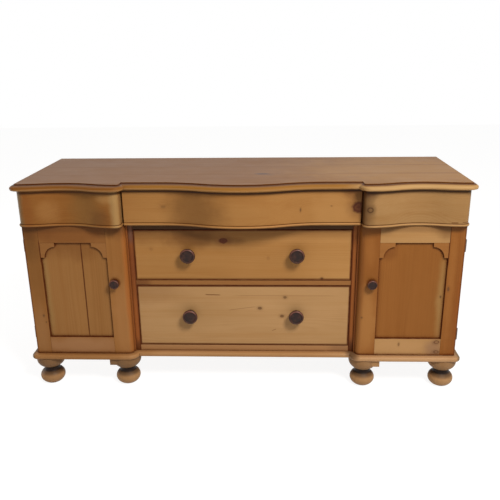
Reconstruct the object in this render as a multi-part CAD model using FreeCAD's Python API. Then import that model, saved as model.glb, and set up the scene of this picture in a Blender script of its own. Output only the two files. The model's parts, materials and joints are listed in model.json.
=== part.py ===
import FreeCAD, Part
import math
import os

from FreeCAD import Vector

# Serpentine pine dresser base: a breakfront carcass on bun feet, with three frieze
# drawers, two wide drawers and two cupboards. Millimetres, +Z up, front towards -Y.

# Overall size
width = 1830.0
depth = 645.0
height = 900.0

# Boards and gaps used all over
carcass_board = 18.0
front_gap = 0.5
running_gap = 0.4
drawer_gap = 2.0
door_gap = 1.0
frieze_gap = 3.0
board_gap = 0.8
mitre_gap = 0.3
same_point = 1e-6

# Top board and its thumbnail edge
top_thickness = 24.0
top_overhang = 22.0
top_edge_run = 34.0
top_edge_quirk = 4.0
top_edge_rise = 11.5
top_edge_under = 6.0
top_edge_steps = 6
top_under_steps = 3
top_outer_round = 16.0
back_overhang = 12.0

# Serpentine plan: reaches are measured forwards from the faces of the wide drawers
bow_reach = 84.0
bow_end_reach = 30.0
bow_half_span = 330.0
bay_crest_reach = 73.0
bay_valley_reach = 36.0
bay_outer_reach = 56.0
bay_valley_run = 220.0
bay_inner_round = 22.0
bay_outer_round = 28.0
bay_lap = 12.0

# Frieze drawer fronts
frieze_height = 147.0
frieze_back_reach = 10.0
frieze_board_cover = 8.0
bead_height = 11.0
bead_reach = 5.0
bead_steps = 6
bead_quirk = 1.2

# Wide drawers
drawer_width = 892.0
lower_drawer_height = 275.0
drawer_front_thickness = 22.0
drawer_side_thickness = 13.0
drawer_back_thickness = 11.0
drawer_bottom_thickness = 8.0
drawer_bottom_rise = 11.0
drawer_groove = 6.0
drawer_top_drop = 8.0
drawer_back_space = 26.0
tail_count = 4
tail_length = 15.0
tail_flare = 3.0
housing_depth = 9.0

# Frame round the wide drawers
post_width = 20.5
post_depth = 30.0
rail_height = 20.0
rail_depth = 45.0
base_rail_height = 26.0
frieze_rail_height = 15.0
runner_width = 44.0
guide_height = 32.0

# Doors
door_reach = 34.0
door_reveal = 6.0
door_proud = 2.0
door_inner_round = 20.0
inner_stile_width = 79.0
outer_stile_width = 62.0
top_rail_width = 72.0
bottom_rail_width = 75.0
panel_thickness = 9.0
panel_sink = 9.0
panel_groove = 8.0
panel_slack = 1.0
panel_joint_run = 107.0
tenon_length = 34.0
tenon_shoulder = 12.0
tenon_slack = 1.0
spandrel_width = 62.0
spandrel_height = 64.0
spandrel_step = 11.0
spandrel_drop = 0.8

# Carcass
side_setback = 4.0
back_board_thickness = 12.0
back_rebate = 9.0
back_board_count = 12
back_lap = 9.0
shelf_rise = 250.0
shelf_setback = 40.0
batten_height = 26.0
batten_width = 16.0
cleat = 20.0

# Plinth and feet
plinth_thickness = 21.5
plinth_reach = 24.0
plinth_round = 9.0
plinth_steps = 6
plinth_board = 92.0
foot_height = 132.0
ball_radius = 52.5
ball_half_height = 38.0
sole_radius = 27.0
neck_radius = 35.0
neck_waist = 32.5
neck_height = 12.0
bowl_radius = 60.0
bowl_rim = 17.0
bowl_bulge = math.radians(45.0)
spigot_radius = 14.0
spigot_length = 14.0
spigot_slack = 0.2
foot_inset = 63.0
foot_front_inset = 64.0
rear_foot_inset = 57.0
pad_thickness = 28.0
pad_start = 28.0
pad_tail = 64.0
pad_front = 52.0
pad_back = 48.0
block_half_width = 36.0
block_start = 20.0
block_end = 76.0

# Turned knobs; the outline is given as shares of the knob's own radius
drawer_knob_radius = 31.0
door_knob_radius = 20.0
knob_reach = 1.25
knob_rose = 0.62
knob_rose_height = 0.14
knob_waist = 0.46
knob_waist_height = 0.32
knob_swell = 0.84
knob_swell_height = 0.5
knob_widest_height = 0.76
knob_shoulder = 0.94
knob_shoulder_height = 0.95
knob_rim = 0.8
knob_dish = 0.7
knob_dish_drop = 0.07
knob_spacing = 446.0
knob_rise = 6.0
knob_dowel_radius = 8.0
door_knob_inset = 54.0
door_knob_height = 480.0
door_knob_gap = 0.4

# Butt hinges
hinge_length = 51.0
hinge_inset = 90.0
hinge_barrel_radius = 5.5
hinge_pin_radius = 2.4
hinge_slack = 0.35
hinge_leaf = 1.8
hinge_leaf_width = 16.0
hinge_pin_head = 3.2
hinge_knuckles = 5

# Turn latches
spindle_radius = 4.5
spindle_slack = 0.5
spindle_socket = 10.0
tongue_width = 13.0
tongue_thickness = 3.5
tongue_tip_gap = 4.0
keeper_reach = 11.0
keeper_depth = 9.0
keeper_height = 34.0
keeper_setback = 1.5
latch_gap = 1.0

# Levels worked out upwards from the floor and downwards from the top
plinth_bottom_z = foot_height
plinth_top_z = plinth_bottom_z + plinth_thickness
top_bottom_z = height - top_thickness
frieze_top_z = top_bottom_z - frieze_gap
frieze_bottom_z = frieze_top_z - frieze_height
frieze_board_top_z = frieze_bottom_z + frieze_board_cover
frieze_board_bottom_z = frieze_board_top_z - carcass_board
base_rail_top_z = plinth_top_z + base_rail_height
lower_bottom_z = base_rail_top_z + drawer_gap
lower_top_z = lower_bottom_z + lower_drawer_height
rail_bottom_z = lower_top_z + drawer_gap
rail_top_z = rail_bottom_z + rail_height
upper_bottom_z = rail_top_z + drawer_gap
frieze_rail_bottom_z = frieze_board_bottom_z - frieze_rail_height
upper_top_z = frieze_rail_bottom_z - drawer_gap
door_bottom_z = plinth_top_z + door_gap
door_top_z = frieze_bottom_z - door_gap
floor_top_z = plinth_top_z + carcass_board
shelf_top_z = floor_top_z + shelf_rise

# Planes worked out from the front line of the top
drawer_face_y = -depth / 2 + top_overhang + bow_reach
frieze_back_y = drawer_face_y - frieze_back_reach
carcass_front_y = frieze_back_y + front_gap
door_back_y = frieze_back_y
door_face_y = drawer_face_y - door_reach
door_thickness = door_back_y - door_face_y
top_back_y = depth / 2
carcass_back_y = top_back_y - back_overhang
back_board_y = carcass_back_y - back_board_thickness
box_back_y = back_board_y - drawer_back_space

# Upright lines on the right-hand side; the left side is its mirror image
drawer_x = drawer_width / 2
post_x = drawer_x + drawer_gap
partition_x = post_x + post_width
cupboard_x = partition_x + carcass_board
bay_inner_x = partition_x + bay_lap
bay_outer_x = width / 2 - top_overhang
side_outer_x = bay_outer_x - side_setback
side_inner_x = side_outer_x - carcass_board
door_inner_x = partition_x + door_reveal
door_outer_x = side_outer_x + door_proud
centre_front_x = bay_inner_x - bead_reach - frieze_gap
hinge_x = door_outer_x + hinge_barrel_radius + hinge_slack
hinge_y = (door_back_y + carcass_front_y) / 2
knob_x = door_inner_x + door_knob_inset

# Opening of the door frame, and the layer of its thickness that holds panel and tenons
panel_x0 = door_inner_x + inner_stile_width
panel_x1 = door_outer_x - outer_stile_width
panel_z0 = door_bottom_z + bottom_rail_width
panel_z1 = door_top_z - top_rail_width
panel_front_y = door_face_y + panel_sink
panel_back_y = panel_front_y + panel_thickness

# Boxes of the frieze drawers, between the boards they slide on and the cleats above
frieze_box_bottom_z = frieze_board_top_z + running_gap
frieze_box_top_z = top_bottom_z - cleat - drawer_gap


def board(x0, x1, y0, y1, z0, z1):
    """A square-edged board between two corners."""
    return Part.makeBox(x1 - x0, y1 - y0, z1 - z0, Vector(x0, y0, z0))


def mirrored(shape):
    """The left-hand copy of a right-hand piece."""
    return shape.mirror(Vector(0, 0, 0), Vector(1, 0, 0))


def both_sides(shape):
    """A right-hand piece and its left-hand copy."""
    return [shape, mirrored(shape)]


def line(a, b):
    """A straight edge."""
    return Part.LineSegment(a, b).toShape()


def arc(centre, radius, from_angle, to_angle):
    """A round edge about a centre, angles in radians."""
    angles = (from_angle, (from_angle + to_angle) / 2, to_angle)
    points = [centre + Vector(radius * math.cos(a), radius * math.sin(a), 0) for a in angles]
    return Part.Arc(*points).toShape()


def polygon_face(points):
    """A flat face with straight edges."""
    return Part.Face(Part.makePolygon(points + points[:1]))


def ends(edge):
    """First and last point of an edge, in its own direction."""
    return [edge.valueAt(edge.FirstParameter), edge.valueAt(edge.LastParameter)]


def joined(edges):
    """A closed wire through edges that follow one another, with straight lines between them."""
    chain = []
    for edge, following in zip(edges, edges[1:] + edges[:1]):
        chain.append(edge)
        gap = (ends(edge)[1], ends(following)[0])
        if gap[0].distanceToPoint(gap[1]) > same_point:
            chain.append(line(*gap))
    return Part.Wire(chain)


def s_curve(start, end, grow):
    """Two tangent arcs between two level points of a front line, grown forwards."""
    run = end.x - start.x
    turn = 2 * math.atan2(abs(end.y - start.y), run)
    radius = run / (2 * math.sin(turn))
    behind = 1 if start.y < end.y else -1
    first = start + Vector(0, behind * radius, 0)
    second = end - Vector(0, behind * radius, 0)
    level = -behind * math.pi / 2
    swing = level + behind * turn
    return [
        arc(first, radius + behind * grow, level, swing),
        arc(second, radius - behind * grow, swing + math.pi, level + math.pi),
    ]


def bay_outline(grow, back_y, outer_round):
    """Plan of the right-hand bay, grown outwards on its front and both ends."""
    crest_y = drawer_face_y - bay_crest_reach
    valley = Vector(bay_inner_x + bay_valley_run, drawer_face_y - bay_valley_reach, 0)
    outer_y = drawer_face_y - bay_outer_reach
    crest = Vector(bay_inner_x + bay_inner_round, crest_y, 0)
    outer = Vector(bay_outer_x - outer_round, outer_y, 0)
    inner_end = Vector(bay_inner_x - grow, back_y, 0)
    outer_end = Vector(bay_outer_x + grow, back_y, 0)
    inner_centre = crest + Vector(0, bay_inner_round, 0)
    outer_centre = outer + Vector(0, outer_round, 0)
    edges = [arc(inner_centre, bay_inner_round + grow, math.pi, 1.5 * math.pi)]
    edges += s_curve(crest, valley, grow)
    edges += s_curve(valley, outer, grow)
    edges.append(arc(outer_centre, outer_round + grow, 1.5 * math.pi, 2 * math.pi))
    edges.append(line(outer_end, inner_end))
    return joined(edges)


def bow_outline(grow, half_width, back_y):
    """Plan of the middle of the front: a bow between two straight ends."""
    end_y = drawer_face_y - bow_end_reach
    left = Vector(-bow_half_span, end_y, 0)
    middle = Vector(0, drawer_face_y - bow_reach, 0)
    right = Vector(bow_half_span, end_y, 0)
    edges = [line(Vector(-half_width, back_y, 0), Vector(-half_width, end_y - grow, 0))]
    edges += s_curve(left, middle, grow)
    edges += s_curve(middle, right, grow)
    edges.append(line(Vector(half_width, end_y - grow, 0), Vector(half_width, back_y, 0)))
    return joined(edges)


def moulded(outline, section):
    """A solid through one plan outline, grown by its own amount at each height."""
    wires = []
    for z, grow in section:
        wire = outline(grow)
        wire.translate(Vector(0, 0, z))
        wires.append(wire)
    return Part.makeLoft(wires, True, True)


def quarter(steps):
    """Angles that divide a right angle evenly, both ends included."""
    return [math.pi / 2 * i / steps for i in range(steps + 1)]


def top_section():
    """Thumbnail edge of the top: rounded underside, nose, sloping face and square quirk."""
    inner = top_overhang - top_edge_run
    nose_z = height - top_edge_quirk - top_edge_rise
    section = []
    for angle in quarter(top_under_steps):
        z = nose_z - (nose_z - top_bottom_z) * math.cos(angle)
        section.append((z, top_overhang - top_edge_under * (1 - math.sin(angle))))
    for angle in quarter(top_edge_steps)[1:]:
        z = nose_z + top_edge_rise * math.sin(angle)
        section.append((z, inner + top_edge_run * math.cos(angle)))
    section.append((height, inner))
    return section


def bead_section():
    """Frieze front from its bead lip up: half-round bead, small quirk, flat face."""
    half = bead_height / 2
    section = []
    for step in range(bead_steps + 1):
        angle = math.pi * (step / bead_steps - 0.5)
        z = frieze_bottom_z + half * (1 + math.sin(angle))
        section.append((z, bead_reach * math.cos(angle)))
    section[0] = (frieze_bottom_z, bead_reach / 2)
    section[-1] = (frieze_bottom_z + bead_height, -bead_quirk)
    section.append((frieze_bottom_z + bead_height + bead_quirk, 0))
    section.append((frieze_top_z, 0))
    return section


def plinth_section():
    """Rounded nose of the plinth boards."""
    flat = plinth_thickness - 2 * plinth_round
    section = []
    for angle in quarter(plinth_steps):
        z = plinth_bottom_z + plinth_round * (1 - math.cos(angle))
        section.append((z, plinth_reach - plinth_round * (1 - math.sin(angle))))
    for angle in quarter(plinth_steps):
        z = plinth_bottom_z + plinth_round + flat + plinth_round * math.sin(angle)
        section.append((z, plinth_reach - plinth_round * (1 - math.cos(angle))))
    return section


def make_top():
    """Top board: the middle and two bays run together, so the moulding mitres at the breaks."""
    bay = moulded(lambda grow: bay_outline(grow, top_back_y, top_outer_round), top_section())
    middle_x = bay_inner_x + bay_inner_round
    middle = moulded(lambda grow: bow_outline(grow, middle_x, top_back_y), top_section())
    return middle.fuse(both_sides(bay)).removeSplitter()


def plinth_bay_outline(grow):
    """Plan of the plinth board under one cupboard, rounded at the ends like the door above."""
    back_y = door_face_y + plinth_board
    inner = Vector(door_inner_x + door_inner_round, door_face_y + door_inner_round, 0)
    outer = Vector(door_outer_x - door_proud, door_face_y + door_proud, 0)
    edges = [
        arc(inner, door_inner_round + grow, math.pi, 1.5 * math.pi),
        arc(outer, door_proud + grow, 1.5 * math.pi, 2 * math.pi),
        line(Vector(door_outer_x + grow, back_y, 0), Vector(door_inner_x - grow, back_y, 0)),
    ]
    return joined(edges)


def plinth_middle_outline(grow):
    """Plan of the plinth board under the wide drawers, long enough to mitre at both ends."""
    end_x = door_inner_x + door_inner_round
    back_y = drawer_face_y + plinth_board
    front_y = drawer_face_y - grow
    corners = [(-end_x, back_y), (-end_x, front_y), (end_x, front_y), (end_x, back_y)]
    return Part.makePolygon([Vector(x, y, 0) for x, y in corners + corners[:1]])


def plinth_side_outline(grow):
    """Plan of the plinth board under one side."""
    front_y = door_face_y + plinth_board + mitre_gap
    inner_x = side_outer_x - plinth_board
    outer_x = door_outer_x + grow
    corners = [(inner_x, front_y), (outer_x, front_y), (outer_x, carcass_back_y)]
    corners.append((inner_x, carcass_back_y))
    return Part.makePolygon([Vector(x, y, 0) for x, y in corners + corners[:1]])


def make_plinth():
    """Front plinth boards in three lengths, and the side and back lengths behind them."""
    outer_hole, inner_hole, rear_hole = [spigot_hole(place) for place in foot_places()]
    bay = moulded(plinth_bay_outline, plinth_section()).cut([outer_hole, inner_hole])
    bays = both_sides(bay)
    mitres = both_sides(moulded(lambda grow: plinth_bay_outline(grow + mitre_gap), plinth_section()))
    middle = moulded(plinth_middle_outline, plinth_section()).cut(mitres)
    sides = both_sides(moulded(plinth_side_outline, plinth_section()).cut(rear_hole))
    back_x = side_outer_x - plinth_board - mitre_gap
    back = board(-back_x, back_x, carcass_back_y - plinth_board, carcass_back_y,
                 plinth_bottom_z, plinth_top_z)
    return bays + [middle], sides + [back]


def foot_places():
    """Centres of the right-hand feet: outer front, inner front and rear."""
    front_y = door_face_y - plinth_reach + foot_front_inset
    outer_x = door_outer_x + plinth_reach - foot_inset
    inner_x = door_inner_x - plinth_reach + foot_inset
    rear_y = carcass_back_y - rear_foot_inset
    return [Vector(outer_x, front_y, 0), Vector(inner_x, front_y, 0), Vector(outer_x, rear_y, 0)]


def spigot_hole(place):
    """Blind hole in the plinth for the spigot of one foot."""
    seat = place + Vector(0, 0, plinth_bottom_z)
    return Part.makeCylinder(spigot_radius + spigot_slack, spigot_length + spigot_slack, seat)


def make_foot(grow):
    """A turned bun foot: flattened ball, waisted neck, bowl and spigot, its neck and bowl grown."""
    neck = neck_radius + grow
    bowl = bowl_radius + grow
    sole_turn = math.acos(sole_radius / ball_radius)
    neck_turn = math.acos(neck / ball_radius)
    ball_z = ball_half_height * math.sin(sole_turn)
    neck_z = ball_z + ball_half_height * math.sin(neck_turn)
    bowl_z = neck_z + neck_height
    rim_z = foot_height - bowl_rim
    spigot_z = foot_height + spigot_length
    ball = Part.Ellipse(Vector(ball_radius, 0, ball_z), Vector(0, 0, ball_z + ball_half_height),
                        Vector(0, 0, ball_z))
    waist = Vector(neck_waist + grow, 0, (neck_z + bowl_z) / 2)
    bulge = Vector(neck + (bowl - neck) * math.sin(bowl_bulge), 0,
                   rim_z - (rim_z - bowl_z) * math.cos(bowl_bulge))
    corners = [
        Vector(neck, 0, neck_z),
        Vector(neck, 0, bowl_z),
        Vector(bowl, 0, rim_z),
        Vector(bowl, 0, foot_height),
        Vector(spigot_radius, 0, foot_height),
        Vector(spigot_radius, 0, spigot_z),
        Vector(0, 0, spigot_z),
        Vector(0, 0, 0),
        Vector(sole_radius, 0, 0),
    ]
    edges = [Part.ArcOfEllipse(ball, -sole_turn, neck_turn).toShape()]
    edges.append(Part.Arc(corners[0], waist, corners[1]).toShape())
    edges.append(Part.Arc(corners[1], bulge, corners[2]).toShape())
    edges += [line(a, b) for a, b in zip(corners[2:], corners[3:])]
    return Part.Face(Part.Wire(edges)).revolve(Vector(0, 0, 0), Vector(0, 0, 1), 360)


def make_pads():
    """Blocks under the plinth beside and behind the feet, hollowed to fit round their bowls."""
    outer, inner, rear = foot_places()
    around = make_foot(spigot_slack)
    bottom_z = foot_height - pad_thickness
    tail = board(inner.x + pad_start, inner.x + pad_tail, inner.y - pad_front, inner.y + pad_back,
                 bottom_z, foot_height)
    pads = both_sides(tail.cut(around.translated(inner)))
    for place, step in ((outer, 1), (rear, -1)):
        near_y, far_y = sorted((place.y + step * block_start, place.y + step * block_end))
        block = board(place.x - block_half_width, place.x + block_half_width, near_y, far_y,
                      bottom_z, foot_height)
        pads += both_sides(block.cut(around.translated(place)))
    return pads


def make_feet():
    """Six feet: two under the front of each cupboard and one at each rear corner."""
    foot = make_foot(0)
    feet = []
    for place in foot_places():
        feet += both_sides(foot.translated(place))
    return feet


def make_side():
    """Right-hand side, rebated for the back boards and let in for the hinge leaves."""
    side = board(side_inner_x, side_outer_x, carcass_front_y, carcass_back_y,
                 plinth_top_z, top_bottom_z)
    rebate = board(side_inner_x, side_inner_x + back_rebate, back_board_y, carcass_back_y,
                   plinth_top_z, top_bottom_z)
    return side.cut([rebate] + [carcass_leaf_plate(z) for z in hinge_levels()])


def make_partition():
    """Right-hand partition between the wide drawers and the cupboard."""
    return board(partition_x, cupboard_x, carcass_front_y, back_board_y, plinth_top_z, top_bottom_z)


def make_back_boards():
    """Upright back boards, each lapped over the next."""
    half = side_inner_x + back_rebate
    pitch = 2 * half / back_board_count
    mid_y = (back_board_y + carcass_back_y) / 2
    boards = []
    for index in range(back_board_count):
        x0 = -half + index * pitch
        x1 = x0 + pitch - board_gap
        lap_in = 0 if index == 0 else back_lap
        lap_out = 0 if index == back_board_count - 1 else back_lap
        points = [(x0 + lap_in, back_board_y), (x1 + lap_out, back_board_y), (x1 + lap_out, mid_y)]
        points += [(x1, mid_y), (x1, carcass_back_y), (x0, carcass_back_y)]
        points += [(x0, mid_y), (x0 + lap_in, mid_y)]
        kept = [p for p, q in zip(points, points[1:] + points[:1]) if p != q]
        face = polygon_face([Vector(x, y, plinth_top_z) for x, y in kept])
        boards.append(face.extrude(Vector(0, 0, top_bottom_z - plinth_top_z)))
    return boards


def make_floors():
    """Cupboard floors."""
    floor = board(cupboard_x, side_inner_x, carcass_front_y, back_board_y, plinth_top_z, floor_top_z)
    return both_sides(floor)


def make_shelves():
    """Cupboard shelves and the battens that carry them."""
    front_y = carcass_front_y + shelf_setback
    bottom_z = shelf_top_z - carcass_board
    shelf = board(cupboard_x, side_inner_x, front_y, back_board_y, bottom_z, shelf_top_z)
    batten_z = bottom_z - batten_height
    inner = board(cupboard_x, cupboard_x + batten_width, front_y, back_board_y, batten_z, bottom_z)
    outer = board(side_inner_x - batten_width, side_inner_x, front_y, back_board_y, batten_z, bottom_z)
    return both_sides(shelf), both_sides(inner) + both_sides(outer)


def make_frieze_boards():
    """Boards that the frieze drawers slide on."""
    bay = board(cupboard_x, side_inner_x, carcass_front_y, back_board_y,
                frieze_board_bottom_z, frieze_board_top_z)
    middle = board(-partition_x, partition_x, drawer_face_y, back_board_y,
                   frieze_board_bottom_z, frieze_board_top_z)
    return both_sides(bay) + [middle]


def make_posts():
    """Posts beside the wide drawers."""
    post = board(post_x, partition_x, drawer_face_y, drawer_face_y + post_depth,
                 plinth_top_z, frieze_board_bottom_z)
    return both_sides(post)


def make_rails():
    """Rails over, between and under the wide drawers."""
    back_y = drawer_face_y + rail_depth
    middle = board(-post_x, post_x, drawer_face_y, back_y, rail_bottom_z, rail_top_z)
    base = board(-post_x, post_x, drawer_face_y, back_y, plinth_top_z, base_rail_top_z)
    frieze = board(-post_x, post_x, drawer_face_y, back_y, frieze_rail_bottom_z, frieze_board_bottom_z)
    return [middle, base, frieze]


def make_runners():
    """Runners under the sides of the wide drawers, and guides that stand on them."""
    front_y = drawer_face_y + rail_depth
    runners = []
    guides = []
    for bottom_z, top_z in ((plinth_top_z, base_rail_top_z), (rail_bottom_z, rail_top_z)):
        runner = board(partition_x - runner_width, partition_x, front_y, back_board_y, bottom_z, top_z)
        guide = board(post_x, partition_x, front_y, back_board_y, top_z, top_z + guide_height)
        runners += both_sides(runner)
        guides += both_sides(guide)
    return runners, guides


def make_cleats():
    """Cleats along the sides and partitions, through which the top is screwed."""
    spans = [(side_inner_x - cleat, side_inner_x), (partition_x - cleat, partition_x)]
    cleats = []
    for x0, x1 in spans:
        strip = board(x0, x1, carcass_front_y + cleat, back_board_y, top_bottom_z - cleat, top_bottom_z)
        cleats += both_sides(strip)
    return cleats


def box_bottom(x0, x1, front_y, bottom_z):
    """Bottom board of a drawer, let into its sides and front."""
    z = bottom_z + drawer_bottom_rise
    return board(x0 - drawer_groove, x1 + drawer_groove, front_y - drawer_groove, box_back_y,
                 z, z + drawer_bottom_thickness)


def drawer_box(half_width, mid_x, front_y, bottom_z, top_z, joints):
    """Sides, back and bottom of a drawer; joints are the solids on the sides' front ends."""
    x0 = mid_x - half_width
    x1 = mid_x + half_width
    inner0 = x0 + drawer_side_thickness
    inner1 = x1 - drawer_side_thickness
    bottom = box_bottom(inner0, inner1, front_y, bottom_z)
    sides = []
    for a, b, ends_in in ((x0, inner0, joints[0]), (inner1, x1, joints[1])):
        side = board(a, b, front_y, box_back_y, bottom_z, top_z)
        sides.append(side.fuse(ends_in).removeSplitter().cut(bottom))
    back = board(inner0, inner1, box_back_y - drawer_back_thickness, box_back_y,
                 bottom.BoundBox.ZMax, top_z - drawer_top_drop)
    return sides, back, bottom


def dovetails(x0, x1, front_y, bottom_z, top_z):
    """Tails along the front end of one drawer side."""
    pitch = (top_z - bottom_z) / tail_count
    tails = []
    for index in range(tail_count):
        middle = bottom_z + pitch * (index + 0.5)
        root = pitch / 2 - 2 * tail_flare
        tip = root + tail_flare
        points = [(front_y, middle - root), (front_y - tail_length, middle - tip)]
        points += [(front_y - tail_length, middle + tip), (front_y, middle + root)]
        face = polygon_face([Vector(x0, y, z) for y, z in points])
        tails.append(face.extrude(Vector(x1 - x0, 0, 0)))
    return tails


def make_knob(radius, place):
    """A turned knob on a front: rose, waist, swelling edge, raised rim and dished face."""
    def at(share, height_share):
        return Vector(share * radius, 0, height_share * knob_reach * radius)

    rose_top = at(knob_rose, knob_rose_height)
    waist = at(knob_waist, knob_waist_height)
    widest = at(1, knob_widest_height)
    rim = at(knob_rim, 1)
    dish = at(knob_dish, 1 - knob_dish_drop)
    centre = at(0, 1 - knob_dish_drop)
    edges = [
        line(at(0, 0), at(knob_rose, 0)),
        line(at(knob_rose, 0), rose_top),
        line(rose_top, waist),
        Part.Arc(waist, at(knob_swell, knob_swell_height), widest).toShape(),
        Part.Arc(widest, at(knob_shoulder, knob_shoulder_height), rim).toShape(),
        line(rim, dish),
        line(dish, centre),
        line(centre, at(0, 0)),
    ]
    knob = Part.Face(Part.Wire(edges)).revolve(Vector(0, 0, 0), Vector(0, 0, 1), 360)
    knob.rotate(Vector(0, 0, 0), Vector(1, 0, 0), 90)
    return knob.translated(place)


def make_wide_drawer(front_bottom_z, front_top_z, box_bottom_z):
    """A wide drawer: dovetailed box, flat front and two knobs on dowels."""
    back_y = drawer_face_y + drawer_front_thickness
    box_top_z = front_top_z - drawer_top_drop
    inner_x = drawer_x - drawer_side_thickness
    right_tails = dovetails(inner_x, drawer_x, back_y, box_bottom_z, box_top_z)
    left_tails = [mirrored(tail) for tail in right_tails]
    sides, back, bottom = drawer_box(drawer_x, 0, back_y, box_bottom_z, box_top_z,
                                     (left_tails, right_tails))
    knob_z = (front_bottom_z + front_top_z) / 2 + knob_rise
    place = Vector(knob_spacing / 2, drawer_face_y, knob_z)
    dowel = Part.makeCylinder(knob_dowel_radius, drawer_front_thickness, place, Vector(0, 1, 0))
    knobs = both_sides(make_knob(drawer_knob_radius, place).fuse(dowel).removeSplitter())
    front = board(-drawer_x, drawer_x, drawer_face_y, back_y, front_bottom_z, front_top_z)
    front = front.cut(left_tails + right_tails + [bottom] + both_sides(dowel))
    return {"front": [front], "sides": sides, "back": [back], "bottom": [bottom], "knobs": knobs}


def make_frieze_drawer(front, half_width, mid_x):
    """A frieze drawer: shaped front with a box housed into its flat inner face."""
    housings = []
    for a in (mid_x - half_width, mid_x + half_width - drawer_side_thickness):
        housings.append(board(a, a + drawer_side_thickness, frieze_back_y - housing_depth,
                              frieze_back_y, frieze_box_bottom_z, frieze_box_top_z))
    sides, back, bottom = drawer_box(half_width, mid_x, frieze_back_y, frieze_box_bottom_z,
                                     frieze_box_top_z, ([housings[0]], [housings[1]]))
    front = front.cut(housings + [bottom])
    return {"front": [front], "sides": sides, "back": [back], "bottom": [bottom]}


def make_bay_frieze():
    """Right-hand frieze drawer, rounded at both ends of its serpentine front."""
    front = moulded(lambda grow: bay_outline(grow, frieze_back_y, bay_outer_round), bead_section())
    half_width = (side_inner_x - cupboard_x) / 2 - drawer_gap
    return make_frieze_drawer(front, half_width, (side_inner_x + cupboard_x) / 2)


def make_centre_frieze():
    """Middle frieze drawer with the bowed front."""
    front = moulded(lambda grow: bow_outline(grow, centre_front_x, frieze_back_y), bead_section())
    return make_frieze_drawer(front, partition_x - drawer_gap, 0)


def hinge_levels():
    """Middle heights of the two hinges of a door."""
    return [door_bottom_z + hinge_inset, door_top_z - hinge_inset]


def carcass_leaf_plate(z):
    """Plate of a hinge leaf let into the front edge of the right-hand side."""
    return board(side_outer_x - hinge_leaf_width, side_outer_x, carcass_front_y,
                 carcass_front_y + hinge_leaf, z - hinge_length / 2, z + hinge_length / 2)


def door_leaf_plate(z):
    """Plate of a hinge leaf let into the back of the right-hand door."""
    return board(door_outer_x - hinge_leaf_width, door_outer_x, door_back_y - hinge_leaf,
                 door_back_y, z - hinge_length / 2, z + hinge_length / 2)


def hinge_leaf_solid(plate, z, first_knuckle):
    """A hinge leaf: its plate, and every second knuckle of the barrel from a given one."""
    pitch = hinge_length / hinge_knuckles
    box = plate.BoundBox
    leaf = plate
    for index in range(first_knuckle, hinge_knuckles, 2):
        z0 = z - hinge_length / 2 + index * pitch + hinge_slack / 2
        z1 = z0 + pitch - hinge_slack
        barrel = Part.makeCylinder(hinge_barrel_radius, z1 - z0, Vector(hinge_x, hinge_y, z0))
        leaf = leaf.fuse([barrel, board(box.XMax, hinge_x, box.YMin, box.YMax, z0, z1)])
    bore = Part.makeCylinder(hinge_pin_radius + hinge_slack, hinge_length,
                             Vector(hinge_x, hinge_y, z - hinge_length / 2))
    return leaf.removeSplitter().cut(bore)


def hinge_pin(z):
    """A headed pin through the knuckles of one hinge."""
    z0 = z - hinge_length / 2
    pin = Part.makeCylinder(hinge_pin_radius, hinge_length, Vector(hinge_x, hinge_y, z0))
    low = Part.makeSphere(hinge_pin_head, Vector(hinge_x, hinge_y, z0), Vector(0, 0, 1), -90, 0)
    high = Part.makeSphere(hinge_pin_head, Vector(hinge_x, hinge_y, z0 + hinge_length),
                           Vector(0, 0, 1), 0, 90)
    return pin.fuse([low, high]).removeSplitter()


def make_hinges():
    """Carcass leaves, door leaves and pins of the right-hand door's hinges."""
    levels = hinge_levels()
    carcass = [hinge_leaf_solid(carcass_leaf_plate(z), z, 0) for z in levels]
    door = [hinge_leaf_solid(door_leaf_plate(z), z, 1) for z in levels]
    pins = [hinge_pin(z) for z in levels]
    return carcass, door, pins


def tenons(z0, z1, slack):
    """Tenons of one door rail, longer by the slack where they are cut as mortises."""
    run = tenon_length + slack
    low = z0 + tenon_shoulder
    high = z1 - tenon_shoulder
    inner = board(panel_x0 - run, panel_x0, panel_front_y, panel_back_y, low, high)
    outer = board(panel_x1, panel_x1 + run, panel_front_y, panel_back_y, low, high)
    return [inner, outer]


def inner_stile_plan():
    """Plan of the inner stile, with its rounded front edge."""
    centre = Vector(door_inner_x + door_inner_round, door_face_y + door_inner_round, 0)
    edges = [
        arc(centre, door_inner_round, math.pi, 1.5 * math.pi),
        line(Vector(panel_x0, door_face_y, 0), Vector(panel_x0, door_back_y, 0)),
        line(Vector(panel_x0, door_back_y, 0), Vector(door_inner_x, door_back_y, 0)),
    ]
    return joined(edges)


def make_door_frame():
    """Stiles and rails of the right-hand door, mortised, grooved and bored."""
    rail_spans = ((door_bottom_z, panel_z0), (panel_z1, door_top_z))
    groove = board(panel_x0 - panel_groove, panel_x1 + panel_groove, panel_front_y, panel_back_y,
                   panel_z0 - panel_groove, panel_z1 + panel_groove)
    mortises = []
    rails = []
    for z0, z1 in rail_spans:
        mortises += tenons(z0, z1, tenon_slack)
        rail = board(panel_x0, panel_x1, door_face_y, door_back_y, z0, z1)
        rails.append(rail.fuse(tenons(z0, z1, 0)).removeSplitter().cut(groove))
    plan = inner_stile_plan()
    plan.translate(Vector(0, 0, door_bottom_z))
    inner = Part.Face(plan).extrude(Vector(0, 0, door_top_z - door_bottom_z))
    bore = Part.makeCylinder(spindle_radius + spindle_slack, door_thickness,
                             Vector(knob_x, door_face_y, door_knob_height), Vector(0, 1, 0))
    outer = board(panel_x1, door_outer_x, door_face_y, door_back_y, door_bottom_z, door_top_z)
    plates = [door_leaf_plate(z) for z in hinge_levels()]
    stiles = [inner.cut(mortises + [groove, bore]), outer.cut(mortises + [groove] + plates)]
    return stiles, rails


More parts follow.
